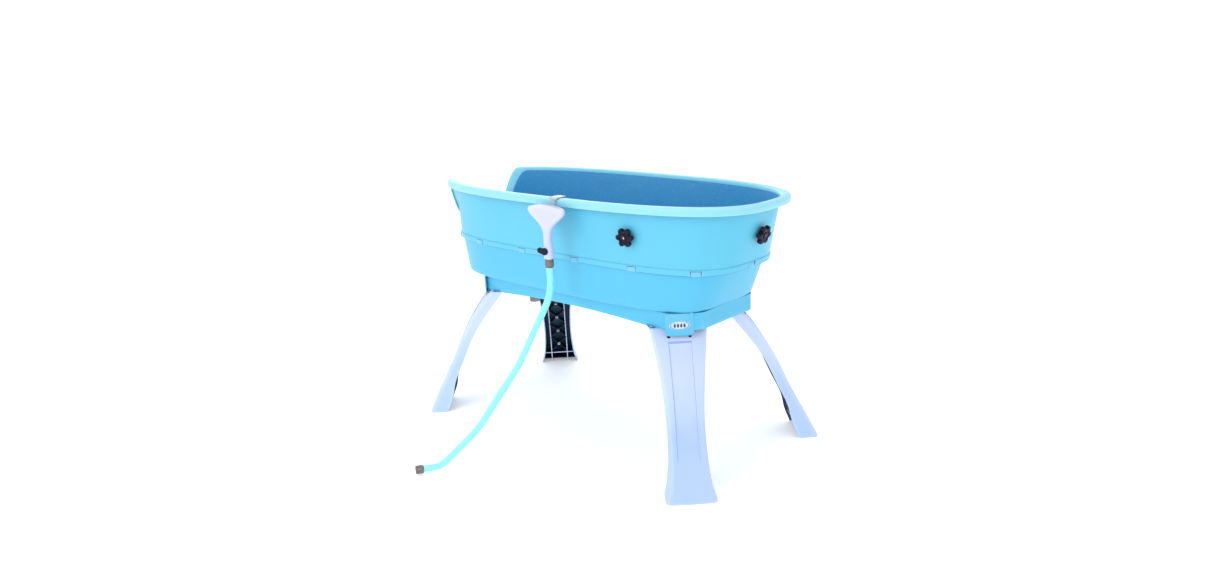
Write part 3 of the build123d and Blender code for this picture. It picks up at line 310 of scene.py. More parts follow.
STEEL = metal("stainless", (0.600, 0.600, 0.610), (0.480, 0.480, 0.500), 0.28)
NICKEL = metal("coupling_nickel", (0.270, 0.235, 0.220), (0.170, 0.150, 0.145), 0.36)
BRASS = metal("brass", (0.640, 0.450, 0.190), (0.500, 0.340, 0.140), 0.30)
SCREW = metal("black_oxide", (0.030, 0.030, 0.034), (0.015, 0.015, 0.017), 0.42)
SEAL = rubber("seal_rubber", (0.015, 0.015, 0.016), (0.060, 0.060, 0.060))
MAT = rubber("mat_rubber", (0.030, 0.170, 0.360), (0.090, 0.290, 0.500))
WEBBING = webbing("black_webbing")
HOSE = vinyl("hose_vinyl_mint", (0.300, 0.880, 0.920), (0.220, 0.760, 0.840))
CLEAR = clear_plastic("clear_strip")


def paint(obj, *materials):
    obj.data.materials.clear()
    for material in materials:
        obj.data.materials.append(material)


# ---- mesh helpers
def mesh_object(name, points, faces, body, material, smooth=40.0):
    """Mesh piece riding on a body, if one is named, with its material and smooth shading up to an angle."""
    mesh = bpy.data.meshes.new(name)
    mesh.from_pydata([tuple(map(float, p)) for p in points], [], [tuple(map(int, f)) for f in faces])
    mesh.update()
    tidy = bmesh.new()
    tidy.from_mesh(mesh)
    bmesh.ops.remove_doubles(tidy, verts=tidy.verts, dist=1e-6)
    bmesh.ops.recalc_face_normals(tidy, faces=tidy.faces)
    tidy.to_mesh(mesh)
    tidy.free()
    obj = bpy.data.objects.new(name, mesh)
    bpy.context.collection.objects.link(obj)
    paint(obj, material)
    shade(obj, smooth)
    if body:
        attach(obj, body)
    return obj


def circle(count):
    """Even turns round a circle, without the last, which meets the first."""
    return np.linspace(0, 2 * math.pi, count + 1)[:-1]


def end_caps(rows, columns):
    """Faces closing the first and the last of some rings."""
    last = (rows - 1) * columns
    return [tuple(range(columns))[::-1], tuple(last + i for i in range(columns))]


def paint_faces(obj, slot_of):
    """Material slot of each face, from the face's index."""
    for face in obj.data.polygons:
        face.material_index = int(slot_of(face.index))


def shade(obj, angle):
    """Smooth faces, with edges sharper than the angle in degrees left hard."""
    mesh = obj.data
    mesh.polygons.foreach_set("use_smooth", [True] * len(mesh.polygons))
    work = bmesh.new()
    work.from_mesh(mesh)
    for edge in work.edges:
        edge.smooth = len(edge.link_faces) != 2 or edge.calc_face_angle(0.0) < math.radians(angle)
    work.to_mesh(mesh)
    work.free()


def ring_faces(rows, columns, closed_rows=False, start=0):
    """Quads between successive rings of the same number of points."""
    faces = []
    for row in range(rows if closed_rows else rows - 1):
        low = start + row * columns
        high = start + ((row + 1) % rows) * columns
        for column in range(columns):
            following = (column + 1) % columns
            faces.append((low + column, low + following, high + following, high + column))
    return faces


def apply_modifiers(obj):
    """Evaluated mesh of the object put in place of its own."""
    graph = bpy.context.evaluated_depsgraph_get()
    mesh = bpy.data.meshes.new_from_object(obj.evaluated_get(graph))
    obj.modifiers.clear()
    obj.data = mesh


def bevelled(obj, width, segments=3):
    bevel = obj.modifiers.new("bevel", "BEVEL")
    bevel.width = width
    bevel.segments = segments
    bevel.limit_method = "ANGLE"
    bevel.angle_limit = math.radians(30.0)
    apply_modifiers(obj)
    shade(obj, 50.0)
    return obj


def join_mesh(target, other):
    """Other's mesh added to target's, keeping target's object."""
    for material in other.data.materials:
        if material.name not in target.data.materials:
            target.data.materials.append(material)
    lookup = [target.data.materials.find(m.name) for m in other.data.materials]
    work = bmesh.new()
    work.from_mesh(target.data)
    count = len(work.faces)
    work.from_mesh(other.data)
    work.faces.ensure_lookup_table()
    for face in work.faces[count:]:
        face.material_index = lookup[face.material_index] if lookup else 0
    work.to_mesh(target.data)
    work.free()
    bpy.data.objects.remove(other)


# ---- outlines
def column_angles():
    return np.arange(COLUMNS) * 2 * math.pi / COLUMNS


def oval(sizes, inset=0.0, angles=None):
    """Superellipse points as two arrays."""
    half_x, half_y, power, shift = sizes
    angles = column_angles() if angles is None else np.asarray(angles, float)
    c, s = np.cos(angles), np.sin(angles)
    k = (np.abs(c) ** power + np.abs(s) ** power) ** (-1 / power)
    return np.stack([shift + (half_x - inset) * k * c, (half_y - inset) * k * s], axis=1)


def blended(low, high, share):
    return tuple(a + (b - a) * share for a, b in zip(low, high))


WALL_BASE = SEAM_Z + BAND - 0.002
WALL_START = blended(WALL_FOOT, WALL_HEAD, (WALL_BASE - SEAM_Z) / (RIM_Z - SEAM_Z))


def upper_wall(z, inset):
    """Points on the ruled upper wall at heights, inset from its outer face."""
    share = np.clip((np.asarray(z, float) - WALL_BASE) / (RIM_Z - WALL_BASE), -0.2, 1.1)
    share = share[..., None] if share.ndim else share
    low, high = oval(WALL_START, inset), oval(WALL_HEAD, inset)
    return low + (high - low) * share


def lower_wall(z, inset, angles):
    share = (z - PAN_Z) / (SEAM_Z - PAN_Z)
    low, high = oval(LOWER_FOOT, inset, angles), oval(LOWER_HEAD, inset, angles)
    return low + (high - low) * share


def with_height(points, z):
    return np.column_stack([points, np.broadcast_to(z, len(points))])


def notch_dip(points):
    """Depth of the walk-in notch below the rim at each point."""
    depth, flat, opened = NOTCH
    t = np.clip((opened - np.abs(points[:, 1])) / (opened - flat), 0, 1)
    return np.where(points[:, 0] < -0.25, depth * t * t * (3 - 2 * t), 0.0)


def rim_ring(inset, drop):
    """Ring following the rim's top line, a distance below it."""
    points = oval(WALL_HEAD, inset)
    for _ in range(4):
        z = RIM_Z - drop - notch_dip(points)
        points = upper_wall(z, inset)
    return np.column_stack([points, z])


# ---- upper shell
# millimetres: inset from the wall's outer face and distance below the rim's top line
RIM_PROFILE = metres(
    (0, 30), (0, 12), (-1, 7.5), (-3.5, 5), (-7.5, 4.2), (-18.5, 4.2), (-21.5, 5.6), (-23, 9), (-23, 19.5),
    (-23.4, 22.2), (-24.8, 23), (-26.2, 22.2), (-26.8, 20), (-27, 15), (-26.7, 10), (-25.5, 5.8), (-22.8, 2.4),
    (-18.5, 0.7), (-13, 0), (-6, 0.2), (-1, 1.4), (2, 3.6), (3.6, 6.8), (4, 11), (4, 30))
WALL_ROWS = 26


def band_ring(z, inset):
    """Ring on the seam band, which leans with the wall above it."""
    share = (z - SEAM_Z) / BAND
    low = oval(SEAM_OVAL, inset)
    high = upper_wall(SEAM_Z + BAND, inset - 0.0026)
    return with_height(low + (high - low) * share, z)


def wall_rows(inset, shares):
    """Rings between the band's top and just under the rim."""
    top = rim_ring(inset, 0.030)
    foot = SEAM_Z + BAND + 0.001
    rows = []
    for share in shares:
        z = foot + (top[:, 2] - foot) * share
        rows.append(np.column_stack([upper_wall(z, inset), z]))
    return rows


def upper_shell():
    band_top = SEAM_Z + BAND
    shares = np.linspace(0, 1, WALL_ROWS)[:-1]
    rings = [band_ring(z, inset) for z, inset in (
        (SEAM_Z, 0.0014), (SEAM_Z + 0.0004, 0.0004), (SEAM_Z + 0.0014, 0.0), (SEAM_Z + 0.3 * BAND, 0.0),
        (SEAM_Z + 0.6 * BAND, 0.0), (band_top - 0.0022, 0.0), (band_top - 0.0008, 0.0005), (band_top, 0.0016))]
    first = len(rings) + len(shares)
    rings += wall_rows(0.0, shares)
    rings += [rim_ring(inset, drop) for inset, drop in RIM_PROFILE]
    rings += wall_rows(WALL, shares[::-1])
    rings += [with_height(oval(SEAM_OVAL, WALL), z) for z in (WALL_BASE, SEAM_Z + 0.001, SEAM_Z)]
    faces = ring_faces(len(rings), COLUMNS, True)
    shell = mesh_object("upper_shell", np.concatenate(rings), faces, "tub", UPPER)
    paint(shell, UPPER, RIM_HIGHLIGHT, SEAM_SHADE, GROOVE)
    # The rim's rows get the paler copy, a painted highlight; the band's two lowest rows get the painted seam shade.
    rim_highlight_rows = range(first + 4, first + len(RIM_PROFILE) - 2)
    paint_faces(shell, lambda i: 2 if i // COLUMNS < 2 else i // COLUMNS in rim_highlight_rows)
    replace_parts(shell, "upper_tub")
    return shell


def seam_frame(angle):
    """Point on the seam, with its direction along, outward and up."""
    here, ahead = oval(SEAM_OVAL, 0.0, [math.radians(angle), math.radians(angle + 1)])
    along = Vector((*(ahead - here), 0)).normalized()
    return Vector((*here, SEAM_Z)), along, along.cross(UP)


def placed_box(name, centre, axes, size, body, material):
    """Box with its own axes."""
    ends = (-0.5, 0.5)
    corners = [
        centre + axes[0] * (u * size[0]) + axes[1] * (v * size[1]) + axes[2] * (w * size[2])
        for w in ends for v in ends for u in ends]
    faces = [(0, 1, 3, 2), (4, 6, 7, 5), (0, 4, 5, 1), (2, 3, 7, 6), (0, 2, 6, 4), (1, 5, 7, 3)]
    return mesh_object(name, corners, faces, body, material)


TAB_SIZE = (0.0280, 0.0138)
WINDOW_MARGIN = 0.0015


def cut(obj, cutter):
    """Cutter's volume taken out of the object."""
    boolean = obj.modifiers.new("cut", "BOOLEAN")
    boolean.operation = "DIFFERENCE"
    boolean.solver = "EXACT"
    boolean.object = cutter
    apply_modifiers(obj)
    bpy.data.objects.remove(cutter)


def tab_box(name, angle, margin, depth, reach):
    """Box of a snap tab on the seam, or of the window round it if there is a margin."""
    centre, along, out = seam_frame(angle)
    width, height = TAB_SIZE[0] + 2 * margin, TAB_SIZE[1] + margin
    low = -0.004 if margin else 0.0004
    tall = height - low
    middle = centre + UP * (low + tall / 2) + out * ((reach - depth) / 2)
    return placed_box(name, middle, (along, UP, out), (width, tall, reach + depth), "tub", LOWER)


upper = upper_shell()
windows, *others = [tab_box("window_cutter", angle, WINDOW_MARGIN, 0.0075, 0.02) for angle in TAB_ANGLES]
for window in others:
    join_mesh(windows, window)
paint_faces(windows, lambda i: 3)
cut(upper, windows)
shade(upper, 40.0)


# ---- lower shell
def skirt_corners(inset):
    """The skirt's eight corners, seen from above."""
    right, left = SKIRT_X[1] - inset, SKIRT_X[0] + inset
    side = SKIRT_HALF_Y - inset
    reach = SKIRT_CORNER - inset * math.sqrt(2)
    back = reach - SKIRT_X[1] - SKIRT_X[0]
    return [
        (right, reach - right), (reach - side, side), (side - back, side), (left, back + left),
        (left, -back - left), (side - back, -side), (reach - side, -side), (right, right - reach),
    ]


def skirt_points(inset, angles):
    """Points of the eight-sided skirt met by rays spread like an oval's columns."""
    middle = Vector((SKIRT_MIDDLE, 0))
    outline = [Vector(p) for p in skirt_corners(inset)]
    points = []
    for angle in angles:
        ray = Vector((SKIRT_HALF_X * math.cos(angle), SKIRT_HALF_Y * math.sin(angle)))
        for a, b in zip(outline, outline[1:] + outline[:1]):
            side = b - a
            determinant = ray.cross(side)
            if abs(determinant) < 1e-12:
                continue
            t = (a - middle).cross(side) / determinant
            u = (a - middle).cross(ray) / determinant
            if t > 0 and -1e-9 <= u <= 1 + 1e-9:
                points.append(middle + ray * t)
                break
    return np.array([tuple(p) for p in points])


def lower_angles():
    """Even angles, plus the exact ones of the skirt's corners."""
    corners = [
        math.atan2(y / SKIRT_HALF_Y, (x - SKIRT_MIDDLE) / SKIRT_HALF_X) % (2 * math.pi) for x, y in skirt_corners(0.0)]
    return np.array(sorted(set(np.round(np.concatenate([column_angles(), corners]), 7))))


def circle_points(radius, centre_x, angles):
    return np.stack([centre_x + radius * np.cos(angles), radius * np.sin(angles)], axis=1)


def arch_rise(points):
    """Rise of the skirt's bottom edge between the legs."""
    half, rise = SKIRT_ARCH
    t = np.clip(1 - ((points[:, 0] - SKIRT_MIDDLE) / half) ** 2, 0, 1)
    return np.where(np.abs(points[:, 1]) > 0.14, rise * t, 0.0)


def lower_shell():
    angles = lower_angles()
    drain_x, drain_r, around = (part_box("drain_body")[0][0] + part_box("drain_body")[1][0]) / 2, 0.0187, 0.060
    lap = WALL + 0.0003
    rings = []

    def oval_ring(sizes, inset, z):
        rings.append(with_height(oval(sizes, inset, angles), z))

    def wall_ring(z, inset):
        rings.append(with_height(lower_wall(z, inset, angles), z))

    def skirt_ring(inset, z):
        rings.append(with_height(skirt_points(inset, angles), z))

    def circle_ring(radius, x, z):
        rings.append(with_height(circle_points(radius, x, angles), z))

    oval_ring(SEAM_OVAL, lap, SEAM_Z + 0.0157)
    oval_ring(SEAM_OVAL, lap, SEAM_Z)
    wall_ring(SEAM_Z, -0.0020)
    wall_ring(SEAM_Z - 0.0010, -0.0006)
    for z in np.linspace(SEAM_Z - 0.003, PAN_Z + 0.012, 14):
        wall_ring(z, 0.0)
    for turn in np.linspace(0, math.pi / 2, 6)[1:]:
        wall_ring(PAN_Z + 0.009 * (1 - math.sin(turn)), 0.009 * (1 - math.cos(turn)))
    skirt_ring(-0.0030, PAN_Z)
    skirt_ring(-0.0008, PAN_Z - 0.0008)
    for z in (PAN_Z - 0.003, 0.455, 0.440):
        skirt_ring(0.0, z)
    for inset, lift in ((0.0, 0.0016), (0.0006, 0.0004), (0.0020, 0.0), (0.0034, 0.0004), (WALL, 0.0016)):
        edge = skirt_points(inset, angles)
        rings.append(with_height(edge, SKIRT_Z + lift + arch_rise(edge)))
    skirt_ring(WALL, PAN_Z - 0.002)
    skirt_ring(WALL + 0.002, PAN_Z)
    oval_ring(BASIN_HEAD, -0.004, PAN_Z)
    oval_ring(BASIN_HEAD, 0.002, PAN_Z - 0.004)
    oval_ring(BASIN_FOOT, 0.0, FLOOR_Z + 0.002)
    oval_ring(BASIN_FOOT, 0.006, FLOOR_Z - WALL)
    circle_ring(around, drain_x + 0.02, FLOOR_Z - WALL)
    circle_ring(drain_r, drain_x, FLOOR_Z - WALL)
    circle_ring(drain_r, drain_x, FLOOR_Z)
    circle_ring(around, drain_x + 0.02, FLOOR_Z)
    for turn in np.linspace(0, math.pi / 2, 5):
        oval_ring(BASIN_FOOT, WALL + 0.008 * (1 - math.sin(turn)), FLOOR_Z + 0.008 * (1 - math.cos(turn)))
    oval_ring(BASIN_HEAD, WALL + 0.001, LEDGE_Z - 0.005)
    oval_ring(BASIN_HEAD, WALL - 0.001, LEDGE_Z - 0.001)
    oval_ring(BASIN_HEAD, WALL - 0.005, LEDGE_Z)
    for turn in np.linspace(0, math.pi / 2, 5):
        wall_ring(LEDGE_Z + 0.009 * (1 - math.cos(turn)), WALL + 0.009 * (1 - math.sin(turn)))
    for z in np.linspace(LEDGE_Z + 0.02, SEAM_Z, 10):
        wall_ring(z, WALL)
    wall_ring(SEAM_Z + WALL, WALL - 0.001)
    oval_ring(SEAM_OVAL, lap + WALL, SEAM_Z + WALL)
    oval_ring(SEAM_OVAL, lap + WALL, SEAM_Z + 0.0157)
    return mesh_object(
        "lower_shell", np.concatenate(rings), ring_faces(len(rings), len(angles), True),
        "tub", LOWER, smooth=32.0,
    )


CORNERS = (("front_right", 1, -1), ("back_right", 1, 1), ("front_left", -1, -1), ("back_left", -1, 1))


def corner_frames():
    """By corner name: a point on the skirt's corner face at floor height, along it, and outward."""
    reach = SKIRT_CORNER - abs(FOOT.x) - abs(FOOT.y)
    frames = {}
    for name, sx, sy in CORNERS:
        out = Vector((sx * DIAGONAL, sy * DIAGONAL, 0))
        along = Vector((-sy, sx, 0)) * (DIAGONAL * sx * sy * -1)
        foot = Vector((sx * FOOT.x, -sy * FOOT.y, 0))
        face = foot + out * (reach * DIAGONAL)
        if sx < 0:
            face = face + X_AXIS * (2 * SKIRT_MIDDLE)
        frames[name] = (face, along, out)
    return frames


def plate(name, origin, along, up, out, outline, thick, bevel, body, material, segments=3):
    """Flat plate with an outline in its own axes, standing out from its origin."""
    count = len(outline)
    points = []
    for depth in (-0.003, thick):
        points += [origin + along * u + up * v + out * depth for u, v in outline]
    faces = end_caps(2, count)
    faces += [(i, (i + 1) % count, count + (i + 1) % count, count + i) for i in range(count)]
    return bevelled(mesh_object(name, points, faces, body, material), bevel, segments)


def rounded_outline(half_width, low, high, radius):
    """Tall rectangle with its two lower corners rounded."""
    steps = 6
    points = [(half_width, high), (-half_width, high)]
    for centre, start in ((-half_width + radius, math.pi), (half_width - radius, 1.5 * math.pi)):
        for step in range(steps + 1):
            turn = start + step * math.pi / 2 / steps
            points.append((centre + radius * math.cos(turn), low + radius + radius * math.sin(turn)))
    return points


lower = lower_shell()
for angle in TAB_ANGLES:
    join_mesh(lower, bevelled(tab_box("tab", angle, 0.0, 0.006, 0.0016), 0.0006, 2))
for face, along, out in corner_frames().values():
    outline = rounded_outline(0.040, 0.407, PAN_Z - 0.0005, 0.012)
    nub = rounded_outline(0.004, PAN_Z - 0.016, PAN_Z + 0.002, 0.0039)
    for name, spot, shape, thick, bevel in (
            ("corner_plate", face, outline, 0.0016, 0.0008), ("corner_nub", face + along * 0.034, nub, 0.0050, 0.0012)):
        join_mesh(lower, plate(name, spot, along, UP, out, shape, thick, bevel, "tub", LOWER))
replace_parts(lower, "lower_tub")


# ---- legs
def smooth_curve(table):
    """Smooth function through (height, value) pairs."""
    heights = np.array([h for h, _ in table])
    values = np.array([v for _, v in table])
    slopes = np.gradient(values, heights)

    def value(z):
        z = np.clip(z, heights[0], heights[-1])
        i = int(np.clip(np.searchsorted(heights, z) - 1, 0, len(heights) - 2))
        step = heights[i + 1] - heights[i]
        t = (z - heights[i]) / step
        a = (2 * t ** 3 - 3 * t ** 2 + 1) * values[i] + (t ** 3 - 2 * t ** 2 + t) * step * slopes[i]
        return a + (3 * t ** 2 - 2 * t ** 3) * values[i + 1] + (t ** 3 - t ** 2) * step * slopes[i + 1]

    return value


leg_out, leg_in, leg_half = smooth_curve(LEG_OUT), smooth_curve(LEG_IN), smooth_curve(LEG_HALF)
PANEL_HALF = smooth_curve(metres((50, 33), (150, 30), (250, 30), (330, 31), (400, 32)))
PANEL_STEP = 0.0014
PANEL_TOP = 0.388
FACE_START = 12                  # first column of a section that lies on the leg's outer face
PANEL_SIDES = (9, 10, 29, 30)    # columns after it that climb the panel's step


def panel_depth(w, z):
    """Depth of the shallow panel down the middle of a leg's outer face."""
    sides = np.clip((PANEL_HALF(z) - abs(w)) / (2 * PANEL_STEP) + 0.5, 0, 1)
    foot = np.clip((z - 0.085) / 0.05, 0, 1)
    head = np.clip((PANEL_TOP - z) / 0.006, 0, 1)
    ease = sides * sides * (3 - 2 * sides)
    return 0.0034 * ease * foot * foot * (3 - 2 * foot) * head


def leg_section(z):
    """Closed channel section of a leg at a height, as (outward, across) pairs."""
    out, back, half = leg_out(z), leg_in(z), leg_half(z)
    corner = 0.014
    outer = [(r, -half) for r in np.linspace(back + 0.0008, out - corner, 7)]
    for turn in np.linspace(0, math.pi / 2, 7)[1:-1]:
        outer.append((out - corner + corner * math.sin(turn), -half + corner * (1 - math.cos(turn))))
    flat, edge = half - corner, PANEL_HALF(z)
    right = np.concatenate([
        np.linspace(0, edge - PANEL_STEP, 9)[:-1], np.linspace(edge - PANEL_STEP, edge + PANEL_STEP, 5),
        np.linspace(edge + PANEL_STEP, flat, 9)[1:]])
    for w in np.concatenate([-right[:0:-1], right]):
        outer.append((out - panel_depth(w, z) + 0.0016 * (1 - (w / flat) ** 2), w))
    outer += [(r, -w) for r, w in outer[:11][::-1]]
    inner_corner, inner_half = corner - LEG_WALL, half - LEG_WALL
    inner = [(r, inner_half) for r in np.linspace(back + 0.0008, out - corner, 5)]
    for turn in np.linspace(0, math.pi / 2, 5)[1:]:
        inner.append((out - corner + inner_corner * math.sin(turn), inner_half - inner_corner * (1 - math.cos(turn))))
    inner += [(r, -w) for r, w in inner[::-1]]
    lip_right = [(back, half - 0.0010), (back, inner_half + 0.0010)]
    return outer + lip_right + inner + [(r, -w) for r, w in lip_right[::-1]]


def channel_span():
    """First and last points of a section that lie inside the channel, the same at any height."""
    height, outer_points = 0.2, 60
    reach = leg_half(height) - LEG_WALL + 1e-6
    inside = [i for i, (_, w) in enumerate(leg_section(height)) if abs(w) <= reach and i > outer_points]
    return inside[0], inside[-1]


def rib(name, path, thick, frame_of):
    """Thin wall across the leg's channel along a path of (across, height) points."""
    points, rows = [], len(path)
    for index, (w, z) in enumerate(path):
        before, after = path[max(index - 1, 0)], path[min(index + 1, rows - 1)]
        run = Vector((after[0] - before[0], after[1] - before[1])).normalized()
        side = Vector((-run.y, run.x)) * (thick / 2)
        out, back = leg_out(z) - LEG_WALL + 0.001, leg_in(z) + 0.008
        for sign, r in ((1, out), (1, back), (-1, back), (-1, out)):
            points.append(frame_of(r, w + sign * side.x, z + sign * side.y))
    faces = ring_faces(rows, 4) + end_caps(rows, 4)
    # Every rib starts in the cross ribs' near-black painted shade.
    wall = mesh_object(name, points, faces, "tub", LEG_RIB_SHADE)
    # Ribs other than the cross ribs get the channel's painted shade, with their open edge left in the leg's colour.
    if name != "cross_rib":
        paint(wall, LEG, LEG_CHANNEL_SHADE)
        paint_faces(wall, lambda i: i % 4 != 1)
    return wall


def boss(w, z, frame_of):
    """Hollow round pillar where two cross ribs meet."""
    points, radius = [], 0.005
    out, back = leg_out(z) - LEG_WALL + 0.001, leg_in(z) + 0.0072
    profile = (out, radius), (back + 0.0006, radius), (back, radius - 0.0006), (back, 0.0026), (back + 0.006, 0.0024)
    for r, size in profile:
        points += [frame_of(r, w + size * math.cos(t), z + size * math.sin(t)) for t in circle(16)]
    faces = ring_faces(5, 16) + [tuple(range(64, 80))]
    pin = mesh_object("rib_boss", points, faces, "tub", LEG)
    # The pillar's side and bore get the channel's painted shade; its rounded end keeps the leg's colour.
    paint(pin, LEG, LEG_CHANNEL_SHADE)
    paint_faces(pin, lambda i: i < 16 or i >= 48)
    return pin


def under_skirt(point):
    """Point of a leg's top, kept below the skirt's edge where it lies outside the skirt's inner faces."""
    x, y, z = point
    (left, right), inside = SKIRT_X, 2 * WALL
    reach = SKIRT_CORNER - inside * math.sqrt(2)
    fits = left + inside < x < right - inside and abs(y) < SKIRT_HALF_Y - inside
    fits = fits and x + abs(y) < reach and abs(y) - x < reach - right - left
    return point if fits else (x, y, min(z, SKIRT_Z + 0.0004))


def make_leg(name, sx, sy):
    """Bowed channel leg with its ribs, at one corner."""
    def frame_of(r, w, z):
        x, y = FOOT.x + r * DIAGONAL + w * DIAGONAL, -FOOT.y + r * DIAGONAL - w * DIAGONAL
        return under_skirt((sx * x, sy * y, z))

    heights = np.concatenate([[0, 0.0008, 0.0024], np.linspace(0.006, LEG_TOP, 74)])
    sections = []
    for z in heights:
        section = leg_section(z)
        if z < 0.002:
            shrink = 0.0010 * (1 - z / 0.002)
            near = leg_out(z) - 0.002
            section = [(r - shrink if r > near else r, w * (1 - shrink / leg_half(z))) for r, w in section]
        sections.append((z, section))
    count = len(sections[0][1])
    points = [frame_of(r, w, z) for z, section in sections for r, w in section]
    faces = ring_faces(len(sections), count) + end_caps(len(sections), count)
    leg = mesh_object(name, points, faces, "tub", LEG, smooth=38.0)
    paint(leg, LEG, LEG_CHANNEL_SHADE, LEG_PANEL_SHADE, LEG_RIB_SHADE)
    first, last = channel_span()

    def slot_of(index):
        row, column = divmod(index, count)
        if row >= len(sections) - 1:
            return 0
        # Faces inside the channel get the painted shade.
        if first - 1 <= column <= last:
            return 1
        # The panel's step and its top edge get the painted shade line.
        on_side = column - FACE_START in PANEL_SIDES and 0.10 < heights[row] < PANEL_TOP
        at_top = 8 <= column - FACE_START < 32 and heights[row] < PANEL_TOP <= heights[row + 1]
        return 2 if on_side or at_top else 0

    paint_faces(leg, slot_of)
    half, thick = 0.030, 0.003
    for side in (-half, half):
        join_mesh(leg, rib("upright_rib", [(side, z) for z in np.linspace(0.0, 0.378, 40)], thick, frame_of))
    for index in range(5):
        cross = 0.080 + index * 0.062
        for slope in (-1, 1):
            path = [(w, cross + slope * w / half * 0.031) for w in np.linspace(-half, half, 9)]
            join_mesh(leg, rib("cross_rib", path, thick, frame_of))
        join_mesh(leg, boss(0.0, cross, frame_of))
    for height, kind in ((0.016, "cross_rib"), (0.042, "foot_rib"), (0.3765, "foot_rib")):
        reach = leg_half(height) - LEG_WALL if height < 0.1 else half
        path = [(w, height) for w in np.linspace(-reach, reach, 7)]
        join_mesh(leg, rib(kind, path, thick, frame_of))
    shade(leg, 38.0)
    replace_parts(leg, name)
    leg.name = name + "_moulded"


for corner, sx, sy in CORNERS:
    make_leg("leg_" + corner, sx, sy)


# ---- mat and badge
def box_middle(node):
    low, high = map(Vector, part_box(node))
    return (low + high) / 2


def dome_points(centre, radius, height):
    """Small dome as three rings of ten and a crown."""
    points = []
    for size, lift in ((radius, -0.0004), (radius * 0.94, height * 0.45), (radius * 0.6, height * 0.9)):
        points += [
            (centre[0] + size * math.cos(t), centre[1] + size * math.sin(t), centre[2] + lift) for t in circle(10)]
    return points + [(centre[0], centre[1], centre[2] + height)]


def floor_mat():
    """Anti-slip mat: flat sheet with a rounded edge, covered with rows of low domes."""
    (left, _, low_z), (right, half_y, top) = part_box("floor_mat")
    half_x = (right - left) / 2
    sizes = (half_x, half_y, 3.0, BASIN_HEAD[3])
    hole_x, hole_r = box_middle("drain_body").x, 0.036
    angles = column_angles()
    rings = [with_height(circle_points(hole_r, hole_x, angles), z) for z in (low_z, top - 0.0008)]
    rings.append(with_height(circle_points(hole_r + 0.0008, hole_x, angles), top))
    rings += [with_height(oval(sizes, inset), z) for inset, z in (
        (0.010, top), (0.0012, top), (0.0003, top - 0.0004), (0.0, top - 0.0014), (0.0, low_z))]
    faces = ring_faces(len(rings), COLUMNS, True)
    mat = mesh_object("floor_mat_sheet", np.concatenate(rings), faces, "tub", MAT)
    points, faces = [], []
    pitch = 0.017
    for row in range(-8, 9):
        for column in range(-26, 27):
            x = (column + 0.5 * (row % 2)) * pitch + sizes[3]
            y = row * pitch * 0.866
            edge = (abs((x - sizes[3]) / (half_x - 0.012)) ** 3 + abs(y / (half_y - 0.012)) ** 3)
            if edge > 1 or math.hypot(x - hole_x, y) < hole_r + 0.010:
                continue
            start = len(points)
            points += dome_points((x, y, top), 0.0048, 0.0014)
            faces += ring_faces(3, 10, start=start)
            faces += [(start + 20 + i, start + 20 + (i + 1) % 10, start + 30) for i in range(10)]
    join_mesh(mat, mesh_object("mat_domes", points, faces, "tub", MAT))
    shade(mat, 50.0)
    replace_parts(mat, "floor_mat")


def oval_badge():
    """Domed oval plate with a raised border and four plain drop marks."""
    face, along, out = corner_frames()["front_right"]
    height = box_middle("badge").z
    base = face + out * 0.0016
    rings = ((1.0, 0.0), (1.0, 0.0011), (0.97, 0.0016), (0.93, 0.0017), (0.86, 0.0012), (0.84, 0.0010), (0.5, 0.0014))
    points = []
    for share, depth in rings:
        for t in circle(64):
            spot = base + along * (0.029 * share * math.cos(t)) + UP * (height + 0.013 * share * math.sin(t))
            points.append(spot + out * depth)
    points.append(base + UP * height + out * 0.0015)
    faces = ring_faces(len(rings), 64)
    last = (len(rings) - 1) * 64
    faces += [(last + i, last + (i + 1) % 64, len(points) - 1) for i in range(64)]
    badge = mesh_object("badge_oval", points, faces, "tub", BADGE, smooth=60.0)
    paint(badge, BADGE, BADGE_INK)
    paint_faces(badge, lambda i: i // 64 == 3)
    for offset in (-0.0135, -0.0045, 0.0045, 0.0135):
        drop = []
        for t in circle(20):
            taper = 1 - 0.45 * max(math.sin(t), 0)
            drop.append((offset + 0.0032 * math.cos(t) * taper, height + 0.0062 * math.sin(t)))
        join_mesh(badge, plate("badge_mark", base, along, UP, out, drop, 0.0019, 0.0002, "tub", BADGE_INK, 1))
    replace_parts(badge, "badge")


floor_mat()
oval_badge()


# ---- joints' own axes
JOINTS = {joint["name"]: joint for joint in frame["joints"]}


def joint_frame(name):
    """A joint's place, with across and up directions square to its axis."""
    joint = JOINTS[name]
    axis = Vector(joint["axis"]).normalized()
    across = UP.cross(axis).normalized() if abs(axis.z) < 0.9 else X_AXIS
    return Vector(joint["pos_m"]), across, axis.cross(across), axis


def turned(name, joint, profile, outline, body, material, smooth, columns):
    """Surface of rings round a joint's axis: profile is (radius, depth) pairs, outline gives the radius at an angle."""
    place, across, up, axis = joint_frame(joint)
    points = []
    for radius, depth in profile:
        for t in circle(columns):
            size = outline(radius, t)
            points.append(place + across * (size * math.cos(t)) + up * (size * math.sin(t)) + axis * depth)
    faces = ring_faces(len(profile), columns, True)
    return mesh_object(name, points, faces, body, material, smooth)


# ---- knobs
KNOB_R = 0.0280
KNOB_CORE = 0.0196
LOBE_R, LOBE_PITCH = 0.0076, 0.0204
KNOB_FACE = 0.0076
KNOB_TOP = 0.0226


